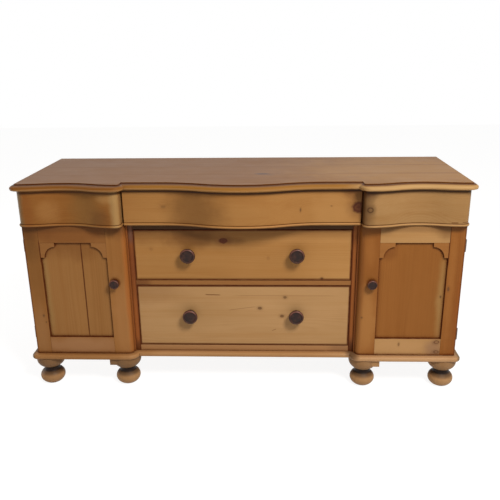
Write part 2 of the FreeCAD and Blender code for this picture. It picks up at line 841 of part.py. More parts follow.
def make_panel(joints):
    """Door panel of one or more boards, standing loose in the groove of the frame."""
    lap = panel_groove - panel_slack
    starts = [panel_x0 - lap] + [joint + board_gap / 2 for joint in joints]
    stops = [joint - board_gap / 2 for joint in joints] + [panel_x1 + lap]
    return [board(a, b, panel_front_y, panel_back_y, panel_z0 - lap, panel_z1 + lap)
            for a, b in zip(starts, stops)]


def make_spandrels():
    """Brackets in the upper corners of the door opening, hollowed to a stepped quarter round."""
    inner_w = spandrel_width - spandrel_step
    inner_h = spandrel_height - spandrel_step
    half_turn = math.sqrt(0.5)
    middle = (inner_w - (inner_w - spandrel_step) * half_turn,
              inner_h - (inner_h - spandrel_step) * half_turn)
    front_y = door_face_y + spandrel_drop

    def at(run, drop):
        return Vector(panel_x0 + run, front_y, panel_z1 - drop)

    corners = [(spandrel_step, inner_h), (spandrel_step, spandrel_height), (0, spandrel_height)]
    corners += [(0, 0), (spandrel_width, 0), (spandrel_width, spandrel_step), (inner_w, spandrel_step)]
    edges = [line(at(*a), at(*b)) for a, b in zip(corners, corners[1:])]
    edges.append(Part.Arc(at(*corners[-1]), at(*middle), at(*corners[0])).toShape())
    inner = Part.Face(Part.Wire(edges)).extrude(Vector(0, panel_front_y - front_y, 0))
    centre_x = (panel_x0 + panel_x1) / 2
    outer = inner.mirror(Vector(centre_x, 0, 0), Vector(1, 0, 0))
    return [inner, outer]


def make_latch():
    """Right-hand turn latch: knob, spindle with its hanging tongue, and the keeper."""
    tongue_y = carcass_front_y + keeper_setback + keeper_depth + latch_gap
    tongue_end_y = tongue_y + tongue_thickness
    place = Vector(knob_x, door_face_y - door_knob_gap, door_knob_height)
    start = place - Vector(0, spindle_socket, 0)
    spindle = Part.makeCylinder(spindle_radius, tongue_end_y - start.y, start, Vector(0, 1, 0))
    knob = make_knob(door_knob_radius, place).cut(spindle)
    length = knob_x - cupboard_x - tongue_tip_gap
    half = tongue_width / 2
    top = Vector(knob_x, tongue_y, door_knob_height)
    tip = top - Vector(0, 0, length - half)
    side = Vector(half, 0, 0)
    edges = [
        Part.Arc(top - side, top + Vector(0, 0, half), top + side).toShape(),
        line(top + side, tip + side),
        Part.Arc(tip + side, tip - Vector(0, 0, half), tip - side).toShape(),
        line(tip - side, top - side),
    ]
    tongue = Part.Face(Part.Wire(edges)).extrude(Vector(0, tongue_thickness, 0))
    keeper_y = carcass_front_y + keeper_setback
    keeper = board(cupboard_x, cupboard_x + keeper_reach, keeper_y, keeper_y + keeper_depth,
                   door_knob_height - keeper_height / 2, door_knob_height + keeper_height / 2)
    return knob, spindle.fuse(tongue).removeSplitter(), keeper


def build():
    """All pieces, as lists of solids by node name."""
    nodes = {"top_board": [make_top()]}
    nodes["right_side"] = [make_side()]
    nodes["left_side"] = [mirrored(make_side())]
    nodes["right_partition"] = [make_partition()]
    nodes["left_partition"] = [mirrored(make_partition())]
    nodes["back_boards"] = make_back_boards()
    nodes["cupboard_floors"] = make_floors()
    nodes["cupboard_shelves"], nodes["shelf_battens"] = make_shelves()
    nodes["frieze_boards"] = make_frieze_boards()
    nodes["drawer_posts"] = make_posts()
    nodes["drawer_rails"] = make_rails()
    nodes["drawer_runners"], nodes["drawer_guides"] = make_runners()
    nodes["top_cleats"] = make_cleats()
    nodes["plinth_front"], nodes["plinth_sides"] = make_plinth()
    nodes["foot_pads"] = make_pads()
    nodes["bun_feet"] = make_feet()

    lower = make_wide_drawer(lower_bottom_z, lower_top_z, base_rail_top_z + running_gap)
    upper = make_wide_drawer(upper_bottom_z, upper_top_z, rail_top_z + running_gap)
    bay = make_bay_frieze()
    left_bay = {piece: [mirrored(s) for s in solids] for piece, solids in bay.items()}
    drawers = {"lower_drawer": lower, "upper_drawer": upper, "centre_frieze": make_centre_frieze()}
    drawers.update({"right_frieze": bay, "left_frieze": left_bay})
    for drawer, pieces in drawers.items():
        for piece, solids in pieces.items():
            nodes[f"{drawer}_{piece}"] = solids

    stiles, rails = make_door_frame()
    carcass_leaves, door_leaves, pins = make_hinges()
    knob, latch, keeper = make_latch()
    door = {"stiles": stiles, "rails": rails, "panel": make_panel([]), "spandrels": make_spandrels()}
    door.update({"hinge_leaves": door_leaves, "knob": [knob], "latch": [latch]})
    left_door = dict(door, panel=make_panel([panel_x0 + panel_joint_run]))
    for piece, solids in door.items():
        nodes[f"right_door_{piece}"] = solids
    for piece, solids in left_door.items():
        nodes[f"left_door_{piece}"] = [mirrored(s) for s in solids]
    nodes["hinge_plates"] = carcass_leaves + [mirrored(s) for s in carcass_leaves]
    nodes["hinge_pins"] = pins + [mirrored(s) for s in pins]
    nodes["latch_keepers"] = both_sides(keeper)
    return nodes


os.makedirs("parts", exist_ok=True)
for node, solids in build().items():
    shape = solids[0] if len(solids) == 1 else Part.makeCompound(solids)
    shape.exportStep(f"parts/{node}.step")
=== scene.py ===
import json
import logging
import math
from dataclasses import dataclass, field
from enum import Enum
from typing import Any, Callable, Optional, Sequence, TypeVar, Union

import bmesh
import bpy
from mathutils import Matrix, Vector

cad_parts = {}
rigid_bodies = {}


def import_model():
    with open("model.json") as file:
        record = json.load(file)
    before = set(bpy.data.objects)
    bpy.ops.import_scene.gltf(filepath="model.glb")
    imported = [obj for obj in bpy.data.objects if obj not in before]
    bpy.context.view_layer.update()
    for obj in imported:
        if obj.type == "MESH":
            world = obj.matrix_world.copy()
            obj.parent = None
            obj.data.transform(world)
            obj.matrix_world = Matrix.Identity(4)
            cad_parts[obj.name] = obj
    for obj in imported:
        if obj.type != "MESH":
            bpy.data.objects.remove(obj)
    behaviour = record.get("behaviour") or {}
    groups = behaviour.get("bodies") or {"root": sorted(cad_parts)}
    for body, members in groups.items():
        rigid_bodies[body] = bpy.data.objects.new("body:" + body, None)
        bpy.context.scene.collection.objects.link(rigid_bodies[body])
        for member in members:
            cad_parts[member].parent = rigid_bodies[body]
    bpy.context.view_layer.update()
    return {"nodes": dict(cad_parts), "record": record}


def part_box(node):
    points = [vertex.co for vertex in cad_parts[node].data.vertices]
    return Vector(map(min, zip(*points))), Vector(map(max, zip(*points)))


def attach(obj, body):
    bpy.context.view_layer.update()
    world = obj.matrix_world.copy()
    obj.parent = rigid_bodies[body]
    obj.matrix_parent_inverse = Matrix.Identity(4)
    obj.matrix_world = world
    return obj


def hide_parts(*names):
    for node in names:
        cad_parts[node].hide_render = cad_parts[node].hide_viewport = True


for leftover in list(bpy.data.objects):
    bpy.data.objects.remove(leftover)
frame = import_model()

LOG = logging.getLogger("dresser")

Value = TypeVar("Value")
Pair = tuple[float, float]
Triple = tuple[float, float, float]
Colour = tuple[float, float, float, float]
Number = Union[float, "Wire"]
Axes = tuple["Wire", "Wire", "Wire"]
Figure = tuple["Wire", "Wire", "Wire", "Wire"]
Box = tuple[Vector, Vector]
Reshape = Callable[[bmesh.types.BMesh], None]

# Sockets of a Mix node that blends colours
MIX_INPUTS = (0, 6, 7)
MIX_RESULT = 2

# What noise is on average, and how far apart the noise of two boards is read
NOISE_MIDDLE = 0.5
SEED_STEPS: Triple = (1.7, 2.3, 3.1)
STAVE_STEP = 1.73

# Samples of the ambient occlusion that sets painted shade and old wax in corners and gaps
CREVICE_SAMPLES = 6


def srgb(red: int, green: int, blue: int) -> Colour:
    """Turn a colour as seen on a screen into the linear one that shaders use.

    Args:
        red: Red, 0 to 255.
        green: Green, 0 to 255.
        blue: Blue, 0 to 255.

    Returns:
        Linear red, green and blue, and an alpha of 1.
    """
    toe, slope, offset, power, full = 0.04045, 12.92, 0.055, 2.4, 255
    linear = [
        value / slope if value <= toe else ((value + offset) / (1.0 + offset)) ** power
        for value in (red / full, green / full, blue / full)
    ]
    return (linear[0], linear[1], linear[2], 1.0)


def grey(level: float) -> Colour:
    """A grey of one linear level."""
    return (level, level, level, 1.0)


class Wire:
    """A shader socket; Python operators on it add Math nodes."""

    def __init__(self, recipe: "Recipe", socket: bpy.types.NodeSocket) -> None:
        """Keep the socket and the recipe that it belongs to."""
        self.recipe = recipe
        self.socket = socket

    def _math(self, operation: str, *values: Number) -> "Wire":
        """Add one Math node.

        Args:
            operation: The node's operation.
            values: Its inputs in order, wires or numbers.

        Returns:
            The node's result.
        """
        made = self.recipe.node("ShaderNodeMath", {"operation": operation}, dict(enumerate(values)))
        return Wire(self.recipe, made.outputs[0])

    def __add__(self, other: Number) -> "Wire":
        """self + other."""
        return self._math("ADD", self, other)

    def __radd__(self, other: Number) -> "Wire":
        """other + self."""
        return self._math("ADD", other, self)

    def __sub__(self, other: Number) -> "Wire":
        """self - other."""
        return self._math("SUBTRACT", self, other)

    def __rsub__(self, other: Number) -> "Wire":
        """other - self."""
        return self._math("SUBTRACT", other, self)

    def __mul__(self, other: Number) -> "Wire":
        """self * other."""
        return self._math("MULTIPLY", self, other)

    def __rmul__(self, other: Number) -> "Wire":
        """other * self."""
        return self._math("MULTIPLY", other, self)

    def __truediv__(self, other: Number) -> "Wire":
        """self / other."""
        return self._math("DIVIDE", self, other)

    def __abs__(self) -> "Wire":
        """The size of self without its sign."""
        return self._math("ABSOLUTE", self)

    def root(self) -> "Wire":
        """Square root."""
        return self._math("SQRT", self)

    def sine(self) -> "Wire":
        """Sine of an angle in radians."""
        return self._math("SINE", self)

    def exponent(self) -> "Wire":
        """e to the power of self."""
        return self._math("EXPONENT", self)

    def fraction(self) -> "Wire":
        """What is left above the whole number below."""
        return self._math("FRACT", self)

    def floor(self) -> "Wire":
        """The whole number below."""
        return self._math("FLOOR", self)

    def at_least(self, other: Number) -> "Wire":
        """The larger of the two."""
        return self._math("MAXIMUM", self, other)

    def at_most(self, other: Number) -> "Wire":
        """The smaller of the two."""
        return self._math("MINIMUM", self, other)

    def rise(self, low: float, high: float) -> "Wire":
        """A soft step from 0 at low to 1 at high.

        Args:
            low: Where the step starts.
            high: Where it ends.

        Returns:
            The step, held to 0 and 1 outside.
        """
        made = self.recipe.node(
            "ShaderNodeMapRange",
            {"interpolation_type": "SMOOTHSTEP"},
            {"Value": self, "From Min": low, "From Max": high},
        )
        return Wire(self.recipe, made.outputs[0])

    def fall(self, low: float, high: float) -> "Wire":
        """A soft step from 1 at low to 0 at high."""
        return 1.0 - self.rise(low, high)


class Grain(Enum):
    """The way that a board's fibres run, by the number of the axis."""

    LENGTHWISE = 0
    INWARD = 1
    UPRIGHT = 2

    def stretch(self, along: float, across: float) -> Triple:
        """Make a scale for each axis.

        Args:
            along: The scale along the fibres.
            across: The scale across them.

        Returns:
            The scale on x, y and z.
        """
        scale = [across, across, across]
        scale[self.value] = along
        return (scale[0], scale[1], scale[2])

    def across(self, values: Sequence[Value]) -> tuple[Value, Value]:
        """The two of three values that lie across the fibres."""
        rest = [value for number, value in enumerate(values) if number != self.value]
        return rest[0], rest[1]


@dataclass(frozen=True)
class Cloud:
    """Noise: clouds in a metre along and across the fibres, finer layers and their strength."""

    along: float
    across: float
    detail: float = 2.0
    rough: float = 0.5


class Recipe:
    """One material in the making: a node tree and short ways to add to it."""

    def __init__(self, name: str, tree: Optional[bpy.types.NodeTree] = None) -> None:
        """Start an empty tree.

        Args:
            name: The material's name.
            tree: A tree to fill instead of a new material's.
        """
        self.material: Optional[bpy.types.Material] = None
        if tree is None:
            self.material = bpy.data.materials.new(name)
            self.material.use_nodes = True
            tree = self.material.node_tree
        self.tree = tree
        self.tree.nodes.clear()

    def node(
        self,
        kind: str,
        settings: Optional[dict[str, Any]] = None,
        sockets: Optional[dict[Union[int, str], Any]] = None,
    ) -> bpy.types.Node:
        """Add a node, set its options, then fill or link its sockets.

        Args:
            kind: The node's type.
            settings: Options by attribute name.
            sockets: Input values or wires, by name or index.

        Returns:
            The new node.
        """
        made = self.tree.nodes.new(kind)
        for name, value in (settings or {}).items():
            setattr(made, name, value)
        for key, value in (sockets or {}).items():
            if isinstance(value, Wire):
                self.tree.links.new(value.socket, made.inputs[key])
            else:
                made.inputs[key].default_value = value
        return made

    def wire(self, made: bpy.types.Node, output: Union[int, str] = 0) -> Wire:
        """Wrap one output of a node."""
        return Wire(self, made.outputs[output])

    def mix(self, factor: Number, first: Any, second: Any) -> Wire:
        """Blend two colours.

        Args:
            factor: 0 gives the first, 1 the second.
            first: A colour or a wire.
            second: A colour or a wire.

        Returns:
            The blended colour.
        """
        values = dict(zip(MIX_INPUTS, (factor, first, second)))
        return self.wire(self.node("ShaderNodeMix", {"data_type": "RGBA"}, values), MIX_RESULT)

    def place(self) -> Wire:
        """Where a point lies in the dresser's own frame."""
        return self.wire(self.node("ShaderNodeTexCoord"), "Object")

    def normal(self) -> Wire:
        """The way that a point faces in the dresser's own frame."""
        return self.wire(self.node("ShaderNodeTexCoord"), "Normal")

    def moved(self, vector: Wire, step: Wire) -> Wire:
        """Shift a vector by the same amount on every axis."""
        same = self.wire(self.node("ShaderNodeCombineXYZ", None, {axis: step for axis in range(3)}))
        return self.wire(self.node("ShaderNodeVectorMath", {"operation": "ADD"}, {0: vector, 1: same}))

    def split(self, vector: Wire) -> Axes:
        """Part a vector into its three numbers."""
        made = self.node("ShaderNodeSeparateXYZ", None, {0: vector})
        return self.wire(made, 0), self.wire(made, 1), self.wire(made, 2)

    def scaled(self, vector: Wire, scale: Triple, shift: Triple = (0.0, 0.0, 0.0)) -> Wire:
        """Stretch and shift a vector.

        Args:
            vector: The vector.
            scale: Factor on each axis.
            shift: Amount added on each axis afterwards.

        Returns:
            The new vector.
        """
        made = self.node(
            "ShaderNodeMapping",
            {"vector_type": "POINT"},
            {"Vector": vector, "Location": shift, "Scale": scale},
        )
        return self.wire(made)

    def noise(self, vector: Wire, detail: float = 2.0, rough: float = 0.5) -> Wire:
        """Cloudy noise, about 0.5 on average.

        Args:
            vector: Where to read it, one cloud to a unit.
            detail: Finer layers on top.
            rough: How strong those layers are.

        Returns:
            The noise, 0 to 1.
        """
        made = self.node(
            "ShaderNodeTexNoise",
            {"noise_dimensions": "3D"},
            {"Vector": vector, "Scale": 1.0, "Detail": detail, "Roughness": rough},
        )
        return self.wire(made)

    def cloud(self, vector: Wire, cloud: Cloud, grain: Grain = Grain.LENGTHWISE) -> Wire:
        """Noise that is stretched along the fibres, 0 to 1."""
        scaled = self.scaled(vector, grain.stretch(cloud.along, cloud.across))
        return self.noise(scaled, cloud.detail, cloud.rough)

    def swing(self, vector: Wire, cloud: Cloud, grain: Grain = Grain.LENGTHWISE) -> Wire:
        """The same noise, to both sides of 0."""
        return self.cloud(vector, cloud, grain) - NOISE_MIDDLE

    def bump(self, height: Wire, strength: float, distance: float) -> Wire:
        """Turn a height into a normal.

        Args:
            height: The height, 0 to 1.
            strength: How much of it shows.
            distance: What a height of 1 measures, in metres.

        Returns:
            The normal.
        """
        values = {"Height": height, "Strength": strength, "Distance": distance}
        return self.wire(self.node("ShaderNodeBump", None, values))

    def crevice_dirt_and_shade(self, reach: float) -> Wire:
        """How deep a point lies in a corner or a gap, read by ambient occlusion, which sets painted shade
        and old wax there.

        Args:
            reach: How far the corner's sides may be, in metres.

        Returns:
            0 on open surfaces, 1 deep in a corner or a gap.
        """
        made = self.node("ShaderNodeAmbientOcclusion", {"samples": CREVICE_SAMPLES}, {"Distance": reach})
        return 1.0 - self.wire(made, "AO")

    def finish(self, sockets: dict[str, Any]) -> bpy.types.Material:
        """Close the tree with a surface shader.

        Args:
            sockets: Values or wires for the shader's inputs.

        Returns:
            The finished material.
        """
        shader = self.node("ShaderNodeBsdfPrincipled", None, sockets)
        self.node("ShaderNodeOutputMaterial", None, {"Surface": self.wire(shader)})
        return self.material


class Face(Enum):
    """The face that a board's marks lie on, by the axis that they are placed on beside x."""

    TOP = 1
    FRONT = 2


@dataclass(frozen=True)
class Knot:
    """A knot, with its place, its half width and its half height."""

    x: float
    up: float
    half_width: float
    half_height: float
    depth: float = 1.0
    ring: bool = False
    colour: Optional[Colour] = None


@dataclass(frozen=True)
class CrackAndShadeLine:
    """A thin dark line along x at one height, or upright at one x, for splits in the wood and joints, and
    for painted shade in narrow gaps.
    """

    start: float
    end: float
    at: float
    width: float = 0.0022
    depth: float = 0.8
    slope: float = 0.0
    upright: bool = False


@dataclass(frozen=True)
class StainAndLightPatch:
    """A soft patch of another colour, for marks in the wood and for painted light and shade."""

    x: float
    up: float
    half_width: float
    half_height: float
    colour: Colour
    share: float


@dataclass(frozen=True)
class Band:
    """A level strip of another colour between two heights, on a stretch of the length: mostly painted
    shade, shadow and highlights, a few of them the wood's own tone.
    """

    low: float
    high: float
    colour: Colour
    share: float
    soft: float = 0.001
    start: Optional[float] = None
    end: Optional[float] = None
    fade: float = 0.06


@dataclass(frozen=True)
class Board:
    """How one piece was sawn, its colour and the marks that it carries, painted light and shade among
    them.
    """

    grain: Grain
    colour: Colour
    heart: Triple = (0.0, 0.09, -0.06)
    seed: float = 0.0
    face: Face = Face.FRONT
    stave: float = 0.0
    stave_axis: int = 0
    # Painted shade on side walls, faded out at the ends, and a painted line of shade along the rim of the
    # front face
    walls: float = 0.0
    clean_ends: float = 0.0
    rim: float = 0.0
    rim_inset: float = 0.0
    knots: tuple[Knot, ...] = ()
    cracks: tuple[CrackAndShadeLine, ...] = ()
    stains: tuple[StainAndLightPatch, ...] = ()
    bands: tuple[Band, ...] = ()


@dataclass(frozen=True)
class Pine:
    """A finish on pine: how far its colours spread and how the surface takes light.

    A share says how much of a thing shows. A pair holds the two ends of a soft step.
    """

    # Colours, three of them as factors on the board's own
    pale: Triple = (1.16, 1.20, 1.30)
    amber: Triple = (0.90, 0.79, 0.62)
    late: Triple = (0.70, 0.55, 0.38)
    # Colour of dust and old wax, and of painted shade in corners, gaps and on side walls
    dirt_and_shade: Colour = srgb(82, 32, 2)
    knot: Colour = srgb(92, 60, 36)

    # Year rings, fibres, patches and streaks
    ring: float = 0.0046
    ring_uneven: float = 3.0
    ring_clouds: float = 60.0
    ring_rise: Pair = (0.2, 0.82)
    ring_fall: Pair = (0.86, 1.0)
    ring_strength: Pair = (0.3, 0.75)
    strength_cloud: Cloud = Cloud(1.1, 16.0)
    drift: float = 0.07
    drift_second: float = 0.6
    drift_cloud: Cloud = Cloud(0.8, 2.4)
    ripple: float = 0.003
    ripple_cloud: Cloud = Cloud(4.0, 40.0)
    swirl: float = 1.5
    swirl_reach: float = 2.4
    late_share: float = 0.22
    patch_cloud: Cloud = Cloud(1.9, 4.6, 3.0, 0.55)
    patch_step: Pair = (0.25, 0.75)
    streak_cloud: Cloud = Cloud(0.75, 24.0, 4.0, 0.62)
    streak_step: Pair = (0.42, 0.8)
    streak_share: float = 0.6
    fibre_cloud: Cloud = Cloud(7.0, 330.0, 3.0, 0.6)
    fibre_step: Pair = (0.5, 0.85)
    fibre_share: float = 0.22

    # Patches of colour and of painted light and shade, knots, and thin dark lines
    patch_mark_cloud: Cloud = Cloud(16.0, 16.0, 3.0)
    patch_mark_ragged: float = 0.7
    patch_mark_step: Pair = (0.25, 1.1)
    knot_cloud: Cloud = Cloud(90.0, 90.0)
    knot_ragged: float = 0.5
    knot_rings: float = 13.0
    knot_figure: float = 0.16
    knot_step: Pair = (0.72, 1.12)
    hollow_step: Pair = (0.45, 0.8)
    halo_step: Pair = (0.7, 2.4)
    halo_share: float = 0.35
    line_mark_core: float = 0.3
    line_mark_taper: float = 0.7

    # Joints between staves, small holes, dust and old wax, and painted shade in corners, gaps, on side
    # walls and along rims
    joint_line: Pair = (0.0004, 0.0016)
    joint_share: float = 0.5
    hole_cells: float = 34.0
    hole_chance: Pair = (0.965, 0.975)
    hole_step: Pair = (0.035, 0.06)
    hole_share: float = 0.8
    soil_cloud: Cloud = Cloud(38.0, 38.0, 3.0)
    dirt_and_shade_least: float = 0.6
    dirt_and_shade_spread: float = 0.7
    # Painted shade and old wax in corners and gaps, read by ambient occlusion
    crevice_share: float = 0.9
    crevice_reach: float = 0.014
    crevice_from: float = 0.14
    crevice_full: float = 0.72
    # Painted shade on side walls and along rims
    wall_step: Pair = (0.15, 0.6)
    face_step: Pair = (0.3, 0.7)
    unshaded_core: float = 0.5
    rim_core: float = 0.2

    # Shine and relief
    wear_cloud: Cloud = Cloud(7.0, 7.0, 3.0, 0.6)
    roughness: float = 0.46
    rough_spread: float = 0.14
    fibre_rough: float = 0.06
    dirt_and_shade_rough: float = 0.25
    coat: float = 0.02
    coat_roughness: float = 0.3
    gloss: float = 0.13
    relief: float = 0.2
    relief_depth: float = 0.0008
    late_height: float = 0.3
    fibre_height: float = 0.45
    soil_height: float = 0.25
    hole_depth: float = 1.5
    joint_depth: float = 0.6

    def gained(self, colour: Colour, gain: Triple) -> Colour:
        """A colour made lighter or darker, each part by its own factor."""
        return (colour[0] * gain[0], colour[1] * gain[1], colour[2] * gain[2], 1.0)

    def material(self, name: str, board: Board, box: Box) -> bpy.types.Material:
        """The material of one piece, from its name, how it was sawn and its two corners."""
        return PineRecipe(name, self, board, box).paint()


class PineRecipe(Recipe):
    """The material of one pine piece in the making."""

    def __init__(self, name: str, look: Pine, board: Board, box: Box) -> None:
        """Note where a point lies on the piece and across its stave.

        Args:
            name: The material's name.
            look: The finish.
            board: How the piece was sawn.
            box: The two corners of the piece.
        """
        super().__init__(name)
        self.look = look
        self.board = board
        self.box = box
        centre = (box[0] + box[1]) / 2
        place = self.place()
        self.axes = self.split(place)
        self.heart = [middle + step for middle, step in zip(centre, board.heart)]
        self.seeded = self.scaled(place, (1.0, 1.0, 1.0), tuple(board.seed * step for step in SEED_STEPS))
        self.crosswise = list(self.axes)
        self.joint: Number = 0.0
        if board.stave:
            middle = centre[board.stave_axis]
            count = (self.axes[board.stave_axis] - middle) / board.stave + 0.5
            share = count.fraction()
            thin, thick = look.joint_line
            self.seeded = self.moved(self.seeded, count.floor() * STAVE_STEP)
            self.crosswise[board.stave_axis] = (share - 0.5) * board.stave + middle
            self.joint = share.at_most(1.0 - share).fall(thin / board.stave, thick / board.stave)

    def paint(self) -> bpy.types.Material:
        """Put the wood, its marks, the dust and painted shade, and the relief together.

        Returns:
            The material.
        """
        look = self.look
        figure = self._figure()
        late, fibre = figure[:2]
        soil = self.cloud(self.seeded, look.soil_cloud)
        dirt_and_shade = self._dirt_and_shade(soil).at_least(self.joint * look.joint_share)
        holes = self._holes()
        colour = self._marks(self._ground(figure))
        colour = self.mix(dirt_and_shade, colour, look.dirt_and_shade)
        colour = self.mix(holes * look.hole_share, colour, look.dirt_and_shade)
        wear = self.swing(self.seeded, look.wear_cloud)
        rough = look.roughness + wear * look.rough_spread + fibre * look.fibre_rough
        rough = rough + dirt_and_shade * look.dirt_and_shade_rough
        height = late * look.late_height + fibre * look.fibre_height - holes * look.hole_depth
        height = height - self.joint * look.joint_depth + soil * look.soil_height
        return self.finish(
            {
                "Base Color": colour,
                "Roughness": rough,
                "Normal": self.bump(height, look.relief, look.relief_depth),
                "Coat Weight": look.coat,
                "Coat Roughness": look.coat_roughness,
                "Specular IOR Level": look.gloss,
            }
        )

    def _figure(self) -> Figure:
        """Year rings, fibres, cloudy patches and long streaks.

        Returns:
            Late wood, fibres, patches and streaks, each 0 to 1.
        """
        look, seeded, grain = self.look, self.seeded, self.board.grain
        drift = self.swing(seeded, look.drift_cloud, grain)
        ripple = self.swing(seeded, look.ripple_cloud, grain)
        first, second = grain.across(self.crosswise)
        first_heart, second_heart = grain.across(self.heart)
        first = first - first_heart + drift * look.drift
        second = second - second_heart + drift * (look.drift_second * look.drift)
        radius = (first * first + second * second).root() + ripple * look.ripple
        for knot in self.board.knots:
            swirl = (self._reach(knot, look.swirl_reach) * -1.0).exponent()
            radius = radius + swirl * (look.swirl * knot.half_height)
        years = self.node("ShaderNodeCombineXYZ", None, {0: radius * look.ring_clouds, 1: self.board.seed})
        uneven = self.noise(self.wire(years)) - NOISE_MIDDLE
        ring = (radius / look.ring + uneven * look.ring_uneven).fraction()
        strength = self.cloud(seeded, look.strength_cloud, grain).rise(*look.ring_strength)
        late = ring.rise(*look.ring_rise) * ring.fall(*look.ring_fall) * strength
        fibre = self.cloud(seeded, look.fibre_cloud, grain)
        patch = self.cloud(seeded, look.patch_cloud, grain)
        streak = self.cloud(seeded, look.streak_cloud, grain)
        return late, fibre, patch, streak

    def _reach(self, mark: Union[Knot, StainAndLightPatch], spread: float = 1.0) -> Wire:
        """Square of the distance from a mark, in units of its size.

        Args:
            mark: The knot or patch.
            spread: A factor on its size.

        Returns:
            The square, 1 at the mark's edge.
        """
        across = (self.axes[0] - mark.x) / (mark.half_width * spread)
        up = (self.axes[self.board.face.value] - mark.up) / (mark.half_height * spread)
        return across * across + up * up

    def _ground(self, figure: Figure) -> Wire:
        """The wood's colour before marks and dirt.

        Args:
            figure: Late wood, fibres, patches and streaks.

        Returns:
            The colour.
        """
        look, base = self.look, self.board.colour
        late, fibre, patch, streak = figure
        pale, amber, dark = (look.gained(base, gain) for gain in (look.pale, look.amber, look.late))
        colour = self.mix(patch.rise(*look.patch_step), pale, base)
        colour = self.mix(streak.rise(*look.streak_step) * look.streak_share, colour, amber)
        colour = self.mix(late * look.late_share, colour, dark)
        return self.mix(fibre.rise(*look.fibre_step) * look.fibre_share, colour, dark)

    def _marks(self, colour: Wire) -> Wire:
        """Paint the board's patches of colour and of painted light and shade, its knots, dark lines and
        bands.

        Args:
            colour: The colour so far.

        Returns:
            The colour with the marks on it.
        """
        look, board = self.look, self.board
        if board.stains:
            cloud = self.swing(self.seeded, look.patch_mark_cloud) * look.patch_mark_ragged
        for stain in board.stains:
            near = (self._reach(stain).root() + cloud).fall(*look.patch_mark_step)
            colour = self.mix(near * stain.share, colour, stain.colour)
        if board.knots:
            wobble = self.swing(self.seeded, look.knot_cloud) * look.knot_ragged
        for knot in board.knots:
            colour = self._knot(colour, knot, self._reach(knot).root() + wobble)
        for crack in board.cracks:
            colour = self.mix(self._crack(crack), colour, look.dirt_and_shade)
        for band in board.bands:
            colour = self.mix(self._band(band), colour, band.colour)
        return colour

    def _knot(self, colour: Wire, knot: Knot, distance: Wire) -> Wire:
        """Paint one knot.

        Args:
            colour: The colour so far.
            knot: The knot.
            distance: The distance from it, in units of its size.

        Returns:
            The colour with the knot on it.
        """
        look = self.look
        wood = knot.colour or look.knot
        halo = distance.fall(*look.halo_step) * look.halo_share
        colour = self.mix(halo * knot.depth, colour, wood)
        core = distance.fall(*look.knot_step)
        if knot.ring:
            core = core * distance.rise(*look.hollow_step)
        rings = 0.5 + 0.5 * (distance * look.knot_rings).sine()
        figure = (1.0 - look.knot_figure) + look.knot_figure * rings
        return self.mix(core * figure * knot.depth, colour, wood)

    def _crack(self, crack: CrackAndShadeLine) -> Wire:
        """How much of one dark line shows.

        Args:
            crack: The line.

        Returns:
            The share of the dark colour, 0 to 1.
        """
        along, across = self.axes[0], self.axes[self.board.face.value]
        if crack.upright:
            along, across = across, along
        half = (crack.end - crack.start) / 2
        along = along - (crack.start + crack.end) / 2
        line = abs(across - crack.at - along * crack.slope)
        thin = line.fall(crack.width * self.look.line_mark_core, crack.width)
        return thin * abs(along).fall(half * self.look.line_mark_taper, half) * crack.depth

    def _band(self, band: Band) -> Wire:
        """How much of one band shows.

        Args:
            band: The band.

        Returns:
            The share of its colour, 0 to 1.
        """
        along, _, height = self.axes
        strip = height.rise(band.low, band.low + band.soft) * height.fall(band.high - band.soft, band.high)
        if band.start is not None:
            strip = strip * along.rise(band.start - band.fade, band.start + band.fade)
        if band.end is not None:
            strip = strip * along.fall(band.end - band.fade, band.end + band.fade)
        return strip * band.share

    def _dirt_and_shade(self, soil: Wire) -> Wire:
        """Old wax and dust with painted shade: in corners and gaps, along the rim, and on side walls that
        face away from the front.

        Args:
            soil: Noise that breaks the dust and the painted shade up.

        Returns:
            How much dust and painted shade a point has, 0 to 1.
        """
        look, board = self.look, self.board
        low, high = self.box
        along, _, height = self.axes
        patchy = look.dirt_and_shade_least + look.dirt_and_shade_spread * soil
        # Ambient occlusion sets painted shade and old wax in corners and gaps
        deep = self.crevice_dirt_and_shade(look.crevice_reach).rise(look.crevice_from, look.crevice_full)
        dirt_and_shade = deep * patchy * look.crevice_share
        edge = (along - low.x).at_most(high.x - along)
        edge = edge.at_most((height - low.z).at_most(high.z - height))
        facing = abs(self.split(self.normal())[1])
        # Side walls that face away from the front get painted shade, as in gaps and recesses
        if board.walls:
            wall_shade = facing.fall(*look.wall_step) * patchy * board.walls
            if board.clean_ends:
                wall_shade = wall_shade * edge.rise(look.unshaded_core * board.clean_ends, board.clean_ends)
            dirt_and_shade = dirt_and_shade.at_least(wall_shade)
        # A painted line of shade along the rim of the front face, where it meets a gap, with some dust
        if board.rim:
            line = (edge - board.rim_inset).fall(look.rim_core * board.rim, board.rim)
            dirt_and_shade = dirt_and_shade.at_least(line * facing.rise(*look.face_step) * patchy)
        return dirt_and_shade.at_most(1.0)

    def _holes(self) -> Wire:
        """Rare small round holes.

        Returns:
            1 in a hole, 0 elsewhere.
        """
        values = {"Vector": self.seeded, "Scale": self.look.hole_cells}
        cells = self.node("ShaderNodeTexVoronoi", {"feature": "F1"}, values)
        chosen = self.split(self.wire(cells, "Color"))[0].rise(*self.look.hole_chance)
        return self.wire(cells, "Distance").fall(*self.look.hole_step) * chosen


